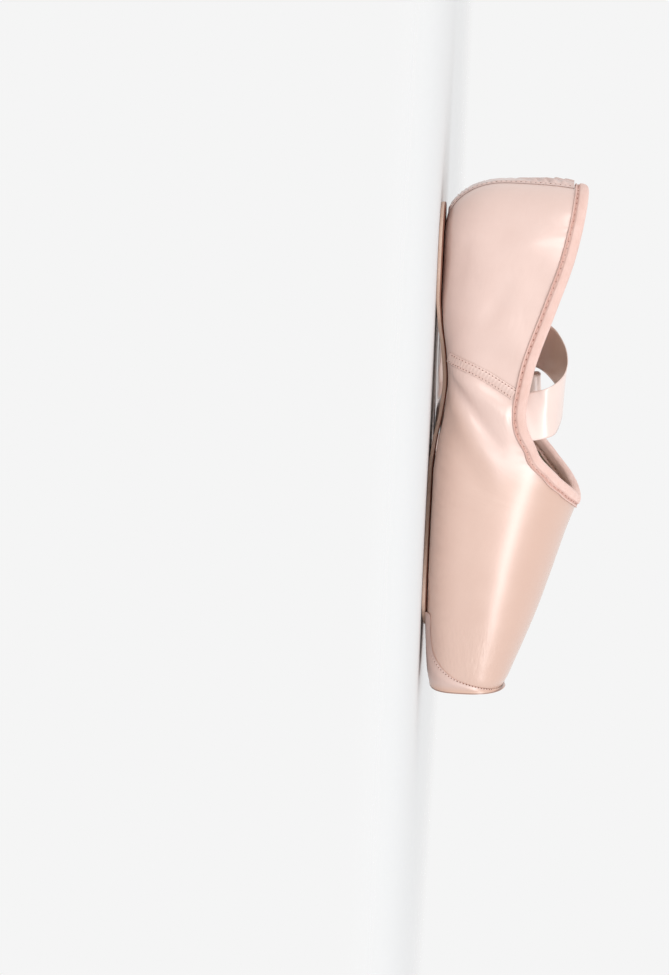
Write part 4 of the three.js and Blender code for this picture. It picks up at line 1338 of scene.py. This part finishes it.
def binding_line(share):
    """The stitches round the binding, on its outer face where share is 0, and on its inner at 1.
    They lie sunk in its groove."""
    outer, inner = BINDING["outer"] - 0.5, BINDING["inner"] - 0.4
    up = BINDING["stitch_up"] - BINDING["height"]

    def place(turn, above):
        return collar_point(turn, share, outer + above * (share == 0), inner + above * (share == 1), up)

    return place


def tape_line(row, side):
    return lambda t, above: tape_place(t, np.full(t.shape, row), side, above)


def strip_line(side):
    across = side * (STRIP["half_width"] - STRIP["stitched"])
    return lambda z, above: back_place(np.full(z.shape, across), z, above)


def panel_line(side):
    def place(s, above):
        face = panel_offset(PANEL["gap"] + PANEL["cloth"], PANEL["stitched"])
        each = np.full(s.shape, float(face) + above)
        angle = angle_at(s, along(PANEL_EDGE, "z", s) - PANEL["stitched"], each)
        return last_point(s, angle, each) * np.array([1, side, 1])

    return place


SEAM_START, SEAM_END = seam_ends()
ROUND = 2 * math.pi
STRIP_TOP = float(below_binding(STRIP["half_width"])) - 0.8
# Each row has its line, its start and end on it, its pitch and its height.
sew("shoe_binding", [(binding_line(share), 0, ROUND, 3.1, 0.04) for share in (0, 1)],
    "binding", 2.3, seed=3)
for side, name in ((1, "left"), (-1, "right")):
    sew(f"shoe_side_seam_{name}",
        [(tape_line(row, side), SEAM_START + 0.01, SEAM_END - 0.01, TAPE["pitch"], 0.36)
         for row in TAPE["stitch_rows"]], "satin", 1.15, seed=5)
sew("shoe_heel_strip", [(strip_line(side), STRIP["low"] + 1, STRIP_TOP, 2.2, 0.62) for side in (1, -1)],
    "strip", 1.5, seed=7)
sew("shoe_toe_seam",
    [(panel_line(side), PANEL["start"] + 1, PLATFORM - 0.4, 1.5, 0.05) for side in (1, -1)],
    "satin", 1.05, seed=9)


def ribbon_line(rows, start, end, along_edge, across_from, across_to):
    """A line of stitches on the sewn end of a ribbon, on the side that faces into the shoe."""
    fine = 4000
    at, way, width, face = ribbon_frames(rows, fine)
    reach = reach_along(at)
    inward = -np.sign(face[0, 1] * rows[0][1])

    def place(t, above):
        run = mix(start, end, t if along_edge else 0 * t)
        across = mix(across_from, across_to, t)
        middle, over, facing = (np.stack([np.interp(run, reach, v[:, k]) for k in range(3)], -1)
                                for v in (at, width, face))
        curl = RIBBON["curl"] * (1 - (across / RIBBON["half_width"]) ** 2)
        rise = inward * (RIBBON["half_thickness"] + above) + curl
        return middle + over * across[:, None] + facing * rise[:, None]

    return place


# The stitched square: where each side starts and ends along the ribbon, whether it runs along it,
# and where it starts and ends across it.
SQUARE = ((2, 2, False, -9, 9), (11, 11, False, -9, 9), (2, 11, True, -9, -9), (2, 11, True, 9, 9))
for rows, name in ((RIBBON_LEFT, "left"), (RIBBON_RIGHT, "right")):
    sew(f"shoe_ribbon_end_{name}", [(ribbon_line(rows, *line), 0, 1, 2.2, 0.05) for line in SQUARE],
        "ribbon", 1.5, seed=11)


def relief_strokes():
    """Crosses pressed into the outsole's forefoot, arm by arm: the arm's middle, way and size."""
    pitch, wide, arm = CROSS["pitch"], CROSS["wide"], CROSS["arm"]
    found = []
    for i, j, stagger in itertools.product(range(-1, 9), range(-3, 4), (0, 0.5)):
        centre = np.array([RELIEF["start"] + CROSS["first"] + (i + stagger) * pitch,
                           (j + stagger) * wide])
        for forward, across in itertools.product((1, -1), (1, -1)):
            way = np.array([forward * pitch, across * wide]) / math.hypot(pitch, wide)
            for near, far in CROSS["shares"]:
                ends = [centre + way * arm * near, centre + way * arm * far]
                inside = all(relief_share(*end, 0.5) > 0.9 for end in ends)
                bare = any(RELIEF["bare_start"] < s < RELIEF["bare_end"] and abs(y) < RELIEF["bare_half"]
                           for s, y in ends)
                if inside and not bare:
                    found.append((*(centre + way * arm * (near + far) / 2), *way, far - near))
                    break
    return np.array(found)


def press_strokes():
    s, y, way_s, way_y, sizes = relief_strokes().T
    slope = slope_at(lift, s)
    points = np.column_stack([to_x(s), y, lift(s) + RELIEF["deep"]])
    ways = unit(np.column_stack([way_s, way_y, slope * way_s]))
    outs = unit(np.column_stack([slope, 0 * slope, -np.ones(len(slope))]))
    made = MARKS.set_on("shoe_outsole_strokes", points, ways, outs, sizes, STROKE, 13, **STROKE_SIZE)
    finish_piece(made, "sole")


press_strokes()


# Floor and light

FLOOR_RADIUS = 0.7
FLOOR_GREY = 0.72
FLOOR_FADE = (0.14, 0.6)
# Each lamp's place, what it points at, its size, power and colour.
LIGHTS = {
    "key_softbox": ((0.6, -1.15, 0.95), (0.6, 0, 0.03), (2.2, 0.24), 9.2, (0.9, 0.95, 1)),
    "heel_softbox": ((-1.0, -0.7, 0.7), (-0.06, 0, 0.03), (0.5, 0.5), 2, (1, 1, 1)),
    "waist_softbox": ((-0.19, -1.1, 0.5), (-0.02, 0, 0.03), (0.12, 0.5), 1.0, (1, 1, 1)),
}


def make_floor():
    f = Finish("pale_floor", **{"Roughness": 0.9, "Specular IOR Level": 0.1})
    place = f.object_place()
    distance = f.node("ShaderNodeVectorMath", {"operation": "LENGTH"}, {0: place}).outputs["Value"]
    f.wear(Base_Color=(FLOOR_GREY, FLOOR_GREY, FLOOR_GREY, 1),
           Alpha=1 - Value(f, distance).smooth(*FLOOR_FADE))
    mesh = bpy.data.meshes.new("floor")
    body = bmesh.new()
    bmesh.ops.create_circle(body, cap_ends=True, radius=FLOOR_RADIUS, segments=96)
    body.to_mesh(mesh)
    body.free()
    mesh.materials.append(f.material)
    show(bpy.data.objects.new("floor", mesh))


def add_light(name, place, aim, size, watts, colour):
    data = bpy.data.lights.new(name, "AREA")
    data.shape = "RECTANGLE"
    data.size, data.size_y = size
    data.energy = watts
    data.color = colour
    lamp = show(bpy.data.objects.new(name, data))
    lamp.location = place
    lamp.rotation_mode = "QUATERNION"
    lamp.rotation_quaternion = (Vector(place) - Vector(aim)).to_track_quat("Z", "Y")


make_floor()
world = bpy.data.worlds.new("studio")
world.use_nodes = True
world.node_tree.nodes["Background"].inputs[0].default_value = tone(245, 245, 245)
world.node_tree.nodes["Background"].inputs[1].default_value = 1.0
bpy.context.scene.world = world
bpy.context.scene.view_settings.view_transform = "Standard"
for name, lamp in LIGHTS.items():
    add_light(name, *lamp)
